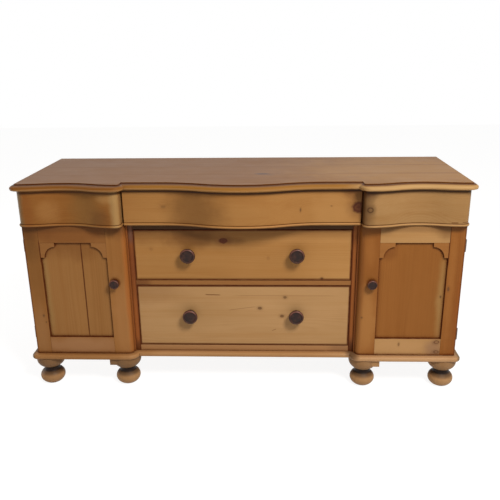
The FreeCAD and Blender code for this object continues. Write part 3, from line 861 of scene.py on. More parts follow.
@dataclass(frozen=True)
class TurnedWood:
    """Dark stained wood, turned and handled.

    Distances from a knob's axis are in units of its radius. The upper side of each rim carries a painted
    highlight.
    """

    ground: Colour = srgb(34, 17, 12)
    worn: Colour = srgb(74, 42, 30)
    # Colour of the painted highlight on the upper side of the rim, over a faintly worn rim
    painted_light_and_shade: Colour = srgb(146, 92, 76)
    # Colour of the dark fibres and of painted shade in the knob's hollows
    dirt_and_shade: Colour = srgb(18, 12, 10)
    wear_cloud: Cloud = Cloud(60.0, 60.0, 3.0, 0.6)
    wear_step: Pair = (0.42, 0.74)
    wear_share: float = 0.7
    fibre_cloud: Cloud = Cloud(60.0, 420.0, 3.0)
    fibre_step: Pair = (0.45, 0.75)
    fibre_share: float = 0.4
    rim_rise: Pair = (0.74, 0.82)
    rim_fall: Pair = (0.92, 1.0)
    rim_share: float = 0.1
    rim_upper_share: float = 0.9
    upper_step: Pair = (0.0, 0.5)
    dish_rise: Pair = (0.64, 0.69)
    dish_fall: Pair = (0.78, 0.82)
    # Painted shade and dust in the knob's hollows, read by ambient occlusion
    crevice_reach: float = 0.008
    crevice_step: Pair = (0.2, 0.8)
    crevice_share: float = 0.8
    roughness: float = 0.36
    wear_rough: float = 0.25
    crevice_rough: float = 0.2
    dish_rough: float = 0.4
    gloss: float = 0.26
    relief: float = 0.2
    relief_depth: float = 0.0006
    fibre_height: float = 0.6

    def material(self, name: str, box: Box) -> bpy.types.Material:
        """Make the material of one knob, or of two that stand level and as far from the middle.

        Args:
            name: The material's name.
            box: The two corners of the knob or the pair.

        Returns:
            The material.
        """
        recipe = Recipe(name)
        place = recipe.place()
        axes = recipe.split(place)
        radius = (box[1].z - box[0].z) / 2
        across = abs(axes[0]) - (max(-box[0].x, box[1].x) - radius)
        rise = axes[2] - (box[0].z + radius)
        ring = (across * across + rise * rise).root() / radius
        wear = recipe.cloud(place, self.wear_cloud)
        fibre = recipe.cloud(place, self.fibre_cloud, Grain.INWARD)
        colour = recipe.mix(wear.rise(*self.wear_step) * self.wear_share, self.ground, self.worn)
        colour = recipe.mix(fibre.rise(*self.fibre_step) * self.fibre_share, colour, self.dirt_and_shade)
        # A painted highlight on the upper side of the rim, where the lamp falls, over faint wear all round
        # it
        upper = recipe.split(recipe.normal())[2].rise(*self.upper_step)
        rim = ring.rise(*self.rim_rise) * ring.fall(*self.rim_fall)
        rim = rim * (self.rim_share + upper * wear * self.rim_upper_share)
        colour = recipe.mix(rim, colour, self.painted_light_and_shade)
        # Ambient occlusion sets painted shade and dust in the knob's hollows
        deep = recipe.crevice_dirt_and_shade(self.crevice_reach).rise(*self.crevice_step)
        colour = recipe.mix(deep * self.crevice_share, colour, self.dirt_and_shade)
        dish = ring.rise(*self.dish_rise) * ring.fall(*self.dish_fall)
        rough = self.roughness + (wear - NOISE_MIDDLE) * self.wear_rough
        rough = rough + deep * self.crevice_rough + dish * self.dish_rough
        height = fibre * self.fibre_height + wear
        return recipe.finish(
            {
                "Base Color": colour,
                "Roughness": rough,
                "Normal": recipe.bump(height, self.relief, self.relief_depth),
                "Specular IOR Level": self.gloss,
            }
        )


@dataclass(frozen=True)
class Iron:
    """Old iron with a brown bloom."""

    bare: Colour = srgb(96, 86, 78)
    bloom: Colour = srgb(70, 46, 32)
    rust_cloud: Cloud = Cloud(110.0, 110.0, 4.0, 0.62)
    rust_step: Pair = (0.4, 0.64)
    rust_dull: float = 0.8
    pit_cloud: Cloud = Cloud(620.0, 620.0)
    roughness: float = 0.42
    rust_rough: float = 0.34
    relief: float = 0.35
    relief_depth: float = 0.0005
    pit_height: float = 0.6
    rust_height: float = 0.4

    def material(self, name: str) -> bpy.types.Material:
        """Make the material.

        Args:
            name: The material's name.

        Returns:
            The material.
        """
        recipe = Recipe(name)
        place = recipe.place()
        cloud = recipe.cloud(place, self.rust_cloud)
        pits = recipe.cloud(place, self.pit_cloud)
        rust = cloud.rise(*self.rust_step)
        height = pits * self.pit_height + cloud * self.rust_height
        return recipe.finish(
            {
                "Base Color": recipe.mix(rust, self.bare, self.bloom),
                "Metallic": 1.0 - rust * self.rust_dull,
                "Roughness": self.roughness + rust * self.rust_rough,
                "Normal": recipe.bump(height, self.relief, self.relief_depth),
            }
        )


WAXED = Pine()
# The next finish, for the doors, sets deeper painted shade and old wax in corners and gaps
SOILED_AND_SHADED = Pine(crevice_reach=0.016, crevice_from=0.06, crevice_full=0.42, crevice_share=1.0)
DULL = Pine(gloss=0.14, coat=0.0, roughness=0.46)
# The next finish, for the partitions, sets fainter painted shade in corners and gaps
FAINT_CREVICE_SHADE = Pine(crevice_share=0.4)
SHAPED = Pine(crevice_reach=0.007)
TOP = Pine(
    roughness=0.42,
    coat=0.0,
    gloss=0.12,
    late_share=0.26,
    streak_share=0.75,
    pale=(1.10, 1.14, 1.22),
)
RAW = Pine(
    roughness=0.66,
    coat=0.0,
    gloss=0.2,
    crevice_share=0.0,
    crevice_reach=0.004,
    dirt_and_shade=srgb(96, 68, 44),
    knot=srgb(104, 62, 40),
)

SHADES: dict[str, Colour] = {
    "top_board": srgb(126, 85, 45),
    "left_frieze": srgb(136, 87, 38),
    "centre_frieze": srgb(155, 109, 58),
    "right_frieze": srgb(149, 112, 68),
    "upper_drawer": srgb(162, 116, 64),
    "lower_drawer": srgb(169, 130, 85),
    "drawer_posts": srgb(132, 76, 34),
    "drawer_rails": srgb(147, 103, 57),
    "left_stiles": srgb(142, 94, 46),
    "left_rails": srgb(138, 91, 46),
    "left_panel": srgb(143, 98, 51),
    "left_spandrels": srgb(142, 95, 50),
    "right_stiles": srgb(132, 80, 32),
    "right_rails": srgb(164, 123, 75),
    "right_panel": srgb(134, 83, 34),
    "right_spandrels": srgb(142, 92, 44),
    "sides": srgb(148, 104, 58),
    "plinth": srgb(166, 123, 79),
    "feet": srgb(160, 121, 80),
    "raw": srgb(196, 158, 106),
}
SHEEN = srgb(156, 122, 72)
SHADE = srgb(92, 56, 26)
# Painted pool of light, where the lamp falls harder
GLOW = srgb(190, 144, 88)
DEEP_SHADE = srgb(78, 36, 12)
# Painted shade along the gaps round a drawer
GAP_SHADE = srgb(66, 30, 4)
RED_KNOT = srgb(88, 42, 26)
RING_KNOT = srgb(84, 46, 30)


class Slot(Enum):
    """Material slots of the record."""

    WAXED = "waxed_pine"
    TOP = "top_pine"
    RAW = "raw_pine"
    KNOB = "dark_turned_wood"
    IRON = "iron"


@dataclass
class Bench:
    """Takes nodes of the frame and turns them into finished pieces."""

    merge: float = 0.00001
    flat: float = math.radians(0.3)
    sharp: float = math.radians(38.0)
    shade_sharp: float = math.radians(50.0)
    segments: int = 2
    bodies: dict[str, str] = field(default_factory=dict)

    def __post_init__(self) -> None:
        """Note the body that carries each node."""
        for body, nodes in frame["record"]["behaviour"]["bodies"].items():
            for node in nodes:
                self.bodies[node] = body

    def soften(self, node: str, edge: float, reshape: Optional[Reshape] = None) -> bpy.types.Object:
        """Make a copy of a node with softened edges, which stands for it.

        Args:
            node: The node's name.
            edge: Width of the softened edges.
            reshape: What changes the copy before its edges are softened.

        Returns:
            The new piece, riding on the node's body.
        """
        mesh = frame["nodes"][node].data
        shape = bmesh.new()
        shape.from_mesh(mesh)
        bmesh.ops.remove_doubles(shape, verts=shape.verts[:], dist=self.merge)
        bmesh.ops.dissolve_limit(
            shape,
            angle_limit=self.flat,
            use_dissolve_boundaries=False,
            verts=shape.verts[:],
            edges=shape.edges[:],
        )
        if reshape:
            reshape(shape)
        arrises = [
            line for line in shape.edges
            if len(line.link_faces) == 2 and line.calc_face_angle() > self.sharp
        ]
        bmesh.ops.bevel(
            shape,
            geom=arrises,
            offset=edge,
            offset_type="OFFSET",
            segments=self.segments,
            profile=0.5,
            affect="EDGES",
            clamp_overlap=True,
            material=-1,
        )
        copy = bpy.data.meshes.new(node + "_worn")
        shape.to_mesh(copy)
        shape.free()
        for face in copy.polygons:
            face.use_smooth = True
        copy.set_sharp_from_angle(angle=self.shade_sharp)
        piece = bpy.data.objects.new(node + "_worn", copy)
        bpy.context.scene.collection.objects.link(piece)
        weighted = piece.modifiers.new("flat faces", "WEIGHTED_NORMAL")
        weighted.keep_sharp = True
        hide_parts(node)
        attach(piece, self.bodies[node])
        return piece

    def dress(self, piece: bpy.types.Object, material: bpy.types.Material, slot: Slot) -> None:
        """Give a piece its material, and log it with the record's slot.

        Args:
            piece: The piece.
            material: Its material.
            slot: The record's slot.
        """
        piece.data.materials.clear()
        piece.data.materials.append(material)
        LOG.info("%s: %s", piece.name, slot.value)

    def pine(
        self,
        node: str,
        finish: Pine,
        board: Board,
        slot: Slot,
        edge: float = 0.0,
        reshape: Optional[Reshape] = None,
    ) -> None:
        """Finish one pine node.

        Args:
            node: The node's name.
            finish: The finish.
            board: How the piece was sawn.
            slot: The record's slot.
            edge: Width of its softened edges; 0 keeps the node's own shape.
            reshape: What changes a copy of the node before its edges are softened.
        """
        piece = self.soften(node, edge, reshape) if edge else frame["nodes"][node]
        self.dress(piece, finish.material(node + "_finish", board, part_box(node)), slot)

    def knob(self, node: str, finish: TurnedWood) -> None:
        """Finish the knob or pair of knobs of one node."""
        self.dress(frame["nodes"][node], finish.material(node + "_finish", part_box(node)), Slot.KNOB)


@dataclass
class TopBoard:
    """The moulded top."""

    edge: float = 0.0012
    stave: float = 0.17
    heart: Triple = (0.0, 0.03, -0.12)
    seed: float = 3.0
    quirk: float = 0.0062
    groove_rise: float = 0.0018
    groove_drop: float = 0.0004
    groove_soft: float = 0.0014
    mould_soft: float = 0.002
    bay_x: float = 0.45
    nose: float = 0.010
    nose_soft: float = 0.003
    nose_height: float = 0.0085
    front_run: float = 0.034
    end_run: float = 0.018
    return_x: float = 0.4585
    # Painted pool of light on the right of the top, where the lamp falls harder
    top_pool_of_light: Colour = srgb(178, 132, 66)
    ink: Colour = srgb(58, 52, 62)
    # Colour of the painted shade and old wax in the quirk under the arris
    groove: Colour = srgb(66, 30, 10)
    # Colour of the painted highlight along the nose, with some wear
    worn: Colour = srgb(206, 160, 106)
    # The front moulding painted darker on the left and lighter on the right, as the lamp falls across it
    mould_left: Colour = srgb(120, 70, 12)
    mould_middle: Colour = srgb(144, 96, 30)
    mould_right: Colour = srgb(202, 166, 114)
    stains: tuple[StainAndLightPatch, ...] = (
        # Painted pool of light on the right of the top
        StainAndLightPatch(0.700, 0.000, 0.620, 0.500, top_pool_of_light, 0.4),
        StainAndLightPatch(0.083, -0.075, 0.040, 0.022, ink, 0.6),
        StainAndLightPatch(0.115, -0.100, 0.020, 0.010, ink, 0.4),
    )
    cracks: tuple[CrackAndShadeLine, ...] = (
        CrackAndShadeLine(0.30, 0.98, 0.118, 0.0075, 0.5),
        CrackAndShadeLine(0.34, 0.98, -0.068, 0.0065, 0.5),
    )

    def narrow(self, shape: bmesh.types.BMesh) -> None:
        """Bring the groove nearer to the ends and to the bays' returns than it is to the front.

        Args:
            shape: A copy of the board.
        """
        low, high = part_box("top_board")
        nose_z = low.z + self.nose_height
        groove_z = high.z - self.quirk + self.groove_rise
        shift = self.front_run - self.end_run
        share = shift / self.front_run
        inner = self.return_x + self.front_run
        outer = high.x - self.front_run
        for corner in shape.verts:
            out = abs(corner.co.x)
            if out > outer:
                step = (high.x - out) * share
            elif out > inner:
                step = shift * (2.0 * (out - inner) / (outer - inner) - 1.0)
            elif out > self.return_x:
                step = (self.return_x - out) * share
            else:
                step = 0.0
            lift = min(max((corner.co.z - nose_z) / (groove_z - nose_z), 0.0), 1.0)
            corner.co.x += math.copysign(1.0, corner.co.x) * step * lift

    def build(self, bench: Bench) -> None:
        """Finish the top board, with painted shade and old wax in the quirk under its arris, a painted
        highlight along its nose, and the moulding and the top painted lighter towards the right.

        Args:
            bench: The bench.
        """
        low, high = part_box("top_board")
        quirk = high.z - self.quirk
        bay, soft = self.bay_x, self.mould_soft
        board = Board(
            Grain.LENGTHWISE, SHADES["top_board"], self.heart, self.seed, Face.TOP,
            stave=self.stave, stave_axis=Grain.INWARD.value, stains=self.stains, cracks=self.cracks,
            bands=(
                # The moulding painted darker on the left and lighter on the right, as the lamp falls
                Band(low.z, quirk, self.mould_left, share=0.8, soft=soft, end=-bay),
                Band(low.z, quirk, self.mould_middle, share=0.7, soft=soft, start=-bay, end=bay),
                Band(low.z, quirk, self.mould_right, share=0.5, soft=soft, start=bay),
                # Painted highlight along the nose
                Band(low.z - self.nose_soft, low.z + self.nose, self.worn, share=0.3, soft=self.nose_soft),
                # Painted shade and old wax in the quirk under the arris
                Band(quirk, high.z - self.groove_drop, self.groove, share=0.8, soft=self.groove_soft),
            ),
        )
        bench.pine("top_board", TOP, board, Slot.TOP, self.edge, self.narrow)


@dataclass
class DrawerBox:
    """The plain box behind a drawer front."""

    name: str
    seed: float
    heart: Triple = (0.0, 0.06, -0.08)

    def build(self, bench: Bench) -> None:
        """Finish the sides, the back and the bottom.

        Args:
            bench: The bench.
        """
        grains = {"sides": Grain.INWARD, "back": Grain.LENGTHWISE, "bottom": Grain.LENGTHWISE}
        for number, (part, grain) in enumerate(grains.items(), 1):
            board = Board(grain, SHADES["raw"], self.heart, self.seed + number)
            bench.pine(f"{self.name}_{part}", RAW, board, Slot.RAW)


@dataclass
class FriezeDrawer:
    """One shaped frieze drawer, with heights on its front from the lower or the upper edge."""

    name: str
    seed: float
    heart: Triple = (0.0, 0.16, -0.10)
    edge: float = 0.0010
    # Painted shade on the front's side walls
    walls: float = 0.25
    # Painted highlight along the bead
    shine: float = 0.3
    shine_low: float = 0.003
    shine_high: float = 0.009
    # Painted shade under the bead and in the quirk above it
    lip_low: float = -0.001
    lip_high: float = 0.004
    quirk_low: float = 0.0098
    quirk_high: float = 0.0132
    # Painted shadow of the top, with a painted dark line just under its nose
    shade: float = 0.016
    line: float = 0.75
    line_low: float = 0.0105
    line_high: float = 0.001
    line_colour: Colour = srgb(34, 14, 4)
    # Colour of the painted shade round the bead and under the top
    groove: Colour = srgb(70, 34, 14)
    # Colour of the painted highlight on the bead
    worn: Colour = srgb(206, 156, 98)
    knots: tuple[Knot, ...] = ()
    cracks: tuple[CrackAndShadeLine, ...] = ()
    stains: tuple[StainAndLightPatch, ...] = ()

    def build(self, bench: Bench) -> None:
        """Finish the front, with painted shade round its bead, painted shadow under the top, a painted
        highlight on the bead, and the box behind it.

        Args:
            bench: The bench.
        """
        low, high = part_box(self.name + "_front")
        bottom, top = low.z, high.z
        front = Board(
            Grain.LENGTHWISE, SHADES[self.name], self.heart, self.seed, walls=self.walls,
            knots=self.knots, cracks=self.cracks, stains=self.stains,
            bands=(
                # Painted highlight on the bead, painted shade under and above it, and painted shadow under
                # the top
                Band(bottom + self.shine_low, bottom + self.shine_high, self.worn, self.shine, soft=0.002),
                Band(bottom + self.lip_low, bottom + self.lip_high, self.groove, share=0.6, soft=0.0015),
                Band(bottom + self.quirk_low, bottom + self.quirk_high, self.groove, share=0.7),
                Band(top - self.shade, top, self.groove, share=0.6, soft=0.007),
                Band(top - self.line_low, top - self.line_high, self.line_colour, self.line, soft=0.003),
            ),
        )
        bench.pine(self.name + "_front", SHAPED, front, Slot.WAXED, self.edge)
        DrawerBox(self.name, self.seed).build(bench)


@dataclass
class WideDrawer:
    """One wide drawer with two knobs."""

    name: str
    seed: float
    heart: Triple = (0.0, 0.12, -0.07)
    edge: float = 0.0014
    # Painted shade on the side walls and a painted line of shade along the rim of the front, beside the
    # gaps
    walls: float = 0.2
    rim: float = 0.0075
    knots: tuple[Knot, ...] = ()
    cracks: tuple[CrackAndShadeLine, ...] = ()
    stains: tuple[StainAndLightPatch, ...] = ()
    bands: tuple[Band, ...] = ()

    def build(self, bench: Bench, knob: TurnedWood) -> None:
        """Finish the front, the box and the knobs.

        Args:
            bench: The bench.
            knob: The finish of the knobs.
        """
        front = Board(
            Grain.LENGTHWISE, SHADES[self.name], self.heart, self.seed, walls=self.walls,
            rim=self.rim, knots=self.knots, cracks=self.cracks, stains=self.stains, bands=self.bands,
        )
        bench.pine(self.name + "_front", WAXED, front, Slot.WAXED, self.edge)
        DrawerBox(self.name, self.seed).build(bench)
        bench.knob(self.name + "_knobs", knob)


@dataclass
class Door:
    """One framed door with its panel, brackets, knob and ironwork."""

    side: str
    seed: float
    edge: float = 0.0014
    panel_edge: float = 0.0006
    panel_groove: float = 0.0075
    # Painted line of shade along the panel's edge, inside the groove, where it meets the frame
    panel_rim: float = 0.0055
    bracket_width: float = 0.062
    bracket_step: float = 0.011
    bracket_foot: float = 0.017
    bracket_merge: float = 0.00011
    stile_heart: Triple = (0.12, 0.08, 0.0)
    rail_heart: Triple = (0.0, 0.1, 0.1)
    panel_heart: Triple = (0.02, 0.12, 0.0)
    bracket_heart: Triple = (0.0, 0.1, -0.1)
    # Painted shade on the side walls of the frame, faded out at the ends
    walls: float = 0.9
    clean_ends: float = 0.012
    shadow: tuple[Band, ...] = (Band(0.690, 0.730, SHADE, 0.4, 0.018),)
    stile_stains: tuple[StainAndLightPatch, ...] = ()
    rail_stains: tuple[StainAndLightPatch, ...] = ()
    # Joints of the panel's boards, dark lines at its groove, and painted shade along the door's outer edge
    joints: tuple[CrackAndShadeLine, ...] = ()
    panel_stains: tuple[StainAndLightPatch, ...] = ()
    panel_knots: tuple[Knot, ...] = ()
    rail_knots: tuple[Knot, ...] = ()
    stile_knots: tuple[Knot, ...] = ()

    def swell(self, shape: bmesh.types.BMesh) -> None:
        """Let the brackets end in a broad foot in place of a small step.

        Args:
            shape: A copy of the two brackets.
        """
        low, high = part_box(f"{self.side}_door_spandrels")
        width, height = self.bracket_width, high.z - low.z
        for corner in shape.verts:
            inward = 1.0 if corner.co.x < (low.x + high.x) / 2 else -1.0
            start = low.x if inward > 0.0 else high.x
            run, drop = abs(corner.co.x - start), high.z - corner.co.z
            if min(run, drop) > self.bracket_step / 2:
                across = (run - width + self.bracket_step) / (width - 2.0 * self.bracket_step)
                down = (drop - height + self.bracket_step) / (height - 2.0 * self.bracket_step)
                corner.co.x = start + inward * (width + (width - self.bracket_foot) * min(across, 0.0))
                corner.co.z = low.z - (height - self.bracket_foot) * min(down, 0.0)
        bmesh.ops.remove_doubles(shape, verts=shape.verts[:], dist=self.bracket_merge)

    def build(self, bench: Bench, knob: TurnedWood, iron: bpy.types.Material) -> None:
        """Finish every piece of the door.

        Args:
            bench: The bench.
            knob: The finish of the knob.
            iron: The material of the hinges and the latch.
        """
        def board(part: str, grain: Grain, heart: Triple, step: int, **marks: Any) -> Board:
            """The board of one part of the door."""
            shade = SHADES[f"{self.side}_{part}"]
            return Board(grain, shade, heart, self.seed + step, walls=self.walls, **marks)

        boards = {
            "stiles": board(
                "stiles", Grain.UPRIGHT, self.stile_heart, 0, clean_ends=self.clean_ends,
                knots=self.stile_knots, stains=self.stile_stains, cracks=self.joints, bands=self.shadow,
            ),
            "rails": board(
                "rails", Grain.LENGTHWISE, self.rail_heart, 1, clean_ends=self.clean_ends,
                knots=self.rail_knots, stains=self.rail_stains, bands=self.shadow,
            ),
            "panel": board(
                "panel", Grain.UPRIGHT, self.panel_heart, 2,
                rim=self.panel_rim, rim_inset=self.panel_groove,
                knots=self.panel_knots, stains=self.panel_stains, cracks=self.joints,
            ),
            "spandrels": board("spandrels", Grain.LENGTHWISE, self.bracket_heart, 3, cracks=self.joints),
        }
        for part, sawn in boards.items():
            edge = self.edge if part in ("stiles", "rails") else self.panel_edge
            reshape = self.swell if part == "spandrels" else None
            bench.pine(f"{self.side}_door_{part}", SOILED_AND_SHADED, sawn, Slot.WAXED, edge, reshape)
        bench.knob(self.side + "_door_knob", knob)
        bench.dress(frame["nodes"][self.side + "_door_hinge_leaves"], iron, Slot.IRON)
        bench.dress(frame["nodes"][self.side + "_door_latch"], iron, Slot.IRON)


@dataclass
class Carcass:
    """The case that holds the drawers and doors."""

    edge: float = 0.0012
    side_stave: float = 0.19
    side_lean: float = 0.1
    side_seeds: Pair = (21.0, 24.0)
    side_heart: float = 0.05
    partition_seeds: Pair = (27.0, 29.0)
    post_x: float = 0.457
    post_edge_x: float = 0.4495
    post_heart: Triple = (0.1, 0.08, 0.0)
    post_seed: float = 31.0
    # Painted shade on the posts' side walls, faded out at the ends
    post_walls: float = 0.5
    post_ends: float = 0.008
    # Colour of the painted shade in the corners at the posts' feet
    foot_corner_shade: Colour = srgb(60, 30, 14)
    post_stains: tuple[StainAndLightPatch, ...] = (
        # Painted shade at the top of the left post, under the frieze
        StainAndLightPatch(-post_x, 0.690, 0.05, 0.060, srgb(96, 72, 62), 0.7),
        StainAndLightPatch(-post_x, 0.550, 0.05, 0.120, srgb(112, 58, 30), 0.5),
        StainAndLightPatch(-post_x, 0.280, 0.05, 0.170, srgb(154, 88, 40), 0.6),
        StainAndLightPatch(post_x, 0.430, 0.05, 0.420, srgb(138, 80, 34), 0.6),
        # Painted shade in the corners at the posts' feet
        StainAndLightPatch(-post_x, 0.160, 0.06, 0.055, foot_corner_shade, 0.6),
        StainAndLightPatch(post_x, 0.160, 0.06, 0.070, foot_corner_shade, 0.8),
    )
    # Painted shade in the gaps between the drawers and the posts
    post_cracks: tuple[CrackAndShadeLine, ...] = (
        CrackAndShadeLine(0.05, 0.85, -post_edge_x, 0.0045, 0.5, upright=True),
        CrackAndShadeLine(0.05, 0.85, post_edge_x, 0.0050, 0.8, upright=True),
    )
    rail_heart: Triple = (0.0, 0.1, 0.1)
    rail_seed: float = 33.0
    # Painted shade on the rails' side walls
    rail_walls: float = 0.4
    rail_stains: tuple[StainAndLightPatch, ...] = (
        StainAndLightPatch(-0.425, 0.468, 0.050, 0.040, srgb(74, 38, 24), 0.7),
        StainAndLightPatch(0.410, 0.168, 0.060, 0.040, srgb(84, 48, 28), 0.6),
    )
    rail_bands: tuple[Band, ...] = (
        # Painted shadow of the frieze on the top rail
        Band(0.698, 0.718, srgb(48, 26, 14), 0.85, 0.002),
        Band(0.455, 0.482, srgb(132, 82, 40), 0.45, 0.002),
        Band(0.152, 0.184, srgb(172, 128, 88), 0.5, 0.002),
    )
    inside_heart: Triple = (0.05, 0.08, -0.08)
    inside_seed: float = 40.0

    def build(self, bench: Bench, iron: bpy.types.Material) -> None:
        """Finish the show wood, the inside and the fixed ironwork.

        Args:
            bench: The bench.
            iron: The material of the ironwork.
        """
        self._uprights(bench)
        rails = Board(
            Grain.LENGTHWISE, SHADES["drawer_rails"], self.rail_heart, self.rail_seed,
            walls=self.rail_walls, stains=self.rail_stains, bands=self.rail_bands,
        )
        bench.pine("drawer_rails", WAXED, rails, Slot.WAXED, self.edge)
        self._inside(bench)
        for name in ("hinge_plates", "hinge_pins", "latch_keepers"):
            bench.dress(frame["nodes"][name], iron, Slot.IRON)

    def _uprights(self, bench: Bench) -> None:
        """Finish the sides, the partitions and the drawer posts.

        Args:
            bench: The bench.
        """
        leans = (self.side_lean, -self.side_lean)
        for name, lean, seed in zip(("left_side", "right_side"), leans, self.side_seeds):
            board = Board(
                Grain.UPRIGHT, SHADES["sides"], (lean, self.side_heart, 0.0), seed,
                stave=self.side_stave, stave_axis=Grain.INWARD.value,
            )
            bench.pine(name, WAXED, board, Slot.WAXED, self.edge)
        heart = (self.side_lean, self.side_heart, 0.0)
        for name, seed in zip(("left_partition", "right_partition"), self.partition_seeds):
            board = Board(Grain.UPRIGHT, SHADES["drawer_posts"], heart, seed)
            bench.pine(name, FAINT_CREVICE_SHADE, board, Slot.WAXED, self.edge)
        posts = Board(
            Grain.UPRIGHT, SHADES["drawer_posts"], self.post_heart, self.post_seed, walls=self.post_walls,
            clean_ends=self.post_ends, stains=self.post_stains, cracks=self.post_cracks,
        )
        bench.pine("drawer_posts", WAXED, posts, Slot.WAXED, self.edge)

    def _inside(self, bench: Bench) -> None:
        """Finish the unwaxed boards inside and behind.

        Args:
            bench: The bench.
        """
        inside = {
            "back_boards": Grain.UPRIGHT,
            "cupboard_floors": Grain.LENGTHWISE,
            "cupboard_shelves": Grain.LENGTHWISE,
            "shelf_battens": Grain.INWARD,
            "frieze_boards": Grain.LENGTHWISE,
            "drawer_runners": Grain.INWARD,
            "drawer_guides": Grain.INWARD,
            "top_cleats": Grain.INWARD,
        }
        for number, (name, grain) in enumerate(inside.items()):
            board = Board(grain, SHADES["raw"], self.inside_heart, self.inside_seed + number)
            bench.pine(name, RAW, board, Slot.RAW)


@dataclass
class Plinth:
    """The plinth moulding and the bun feet."""

    edge: float = 0.0012
    neck: float = 0.061
    bowl: float = 0.073
    bowl_rim: float = 0.115
    foot_top: float = 0.132
    bowl_lift: float = 0.0075
    # Colours of painted shade on the left of the plinth and a painted pool of light on its right, as the
    # lamp falls
    painted_light_and_shade: Colour = srgb(138, 88, 38)
    plinth_pool_of_light: Colour = srgb(192, 152, 112)
    redder_brown: Colour = srgb(124, 72, 38)
    greyed: Colour = srgb(88, 76, 56)
    # Colour of the painted shade under the plinth and in its corner by the right post
    plinth_shade: Colour = srgb(44, 26, 20)
    # Colour of the painted shadow in the feet's necks
    neck_shadow: Colour = srgb(24, 12, 8)
    front_heart: Triple = (0.0, 0.1, 0.1)
    front_seed: float = 51.0
    front_stains: tuple[StainAndLightPatch, ...] = (
        # Painted shade on the left of the plinth and a painted pool of light on its right
        StainAndLightPatch(-0.72, 0.14, 0.40, 0.30, painted_light_and_shade, 0.6),
        StainAndLightPatch(0.72, 0.14, 0.40, 0.30, plinth_pool_of_light, 0.6),
        StainAndLightPatch(-0.912, 0.14, 0.018, 0.06, greyed, 0.7),
        StainAndLightPatch(0.912, 0.14, 0.018, 0.06, greyed, 0.7),
        # Painted shade in the corner by the right post
        StainAndLightPatch(0.460, 0.162, 0.034, 0.030, plinth_shade, 0.7),
    )
    side_heart: Triple = (0.1, 0.0, 0.1)
    side_seed: float = 53.0
    pad_seed: float = 55.0
    # Painted shade on the pads under the plinth, on the left half
    pad_bands: tuple[Band, ...] = (Band(0.080, 0.150, plinth_shade, 0.5, 0.004, end=0.0),)
    foot_heart: Triple = (0.02, 0.01, 0.0)
    foot_seed: float = 57.0
    # The left outer foot a little darker and redder
    foot_stains: tuple[StainAndLightPatch, ...] = (StainAndLightPatch(-0.840, 0.080, 0.10, 0.16, redder_brown, 0.15),)
    foot_bands: tuple[Band, ...] = (
        # Painted shadow on the balls' tops and in the necks, and painted shade on the bowls under the
        # plinth, deeper on the left
        Band(0.040, 0.092, plinth_shade, 0.72, 0.016),
        Band(0.056, 0.086, neck_shadow, 0.94, 0.007),
        Band(0.084, 0.150, plinth_shade, 0.46, 0.004, end=0.0),
        Band(0.084, 0.150, plinth_shade, 0.26, 0.004, start=0.0),
    )

    def lift(self, shape: bmesh.types.BMesh) -> None:
        """Let the bowls of the feet start higher, on a longer neck.

        Args:
            shape: A copy of the feet.
        """
        for corner in shape.verts:
            height = corner.co.z
            if self.neck < height < self.foot_top:
                rising = (height - self.neck) / (self.bowl - self.neck)
                closing = (self.foot_top - height) / (self.foot_top - self.bowl_rim)
                corner.co.z += self.bowl_lift * min(rising, closing, 1.0)

    def build(self, bench: Bench) -> None:
        """Finish the mouldings, pads and feet.

        Args:
            bench: The bench.
        """
        shade = SHADES["plinth"]
        front = Board(
            Grain.LENGTHWISE, shade, self.front_heart, self.front_seed, stains=self.front_stains
        )
        bench.pine("plinth_front", WAXED, front, Slot.WAXED, self.edge)
        sides = Board(Grain.INWARD, shade, self.side_heart, self.side_seed)
        bench.pine("plinth_sides", WAXED, sides, Slot.WAXED, self.edge)
        shade = SHADES["feet"]
        pads = Board(Grain.LENGTHWISE, shade, self.front_heart, self.pad_seed, bands=self.pad_bands)
        bench.pine("foot_pads", DULL, pads, Slot.WAXED, self.edge)
        feet = Board(
            Grain.UPRIGHT, shade, self.foot_heart, self.foot_seed,
            stains=self.foot_stains, bands=self.foot_bands,
        )
        bench.pine("bun_feet", DULL, feet, Slot.WAXED, self.edge, self.lift)


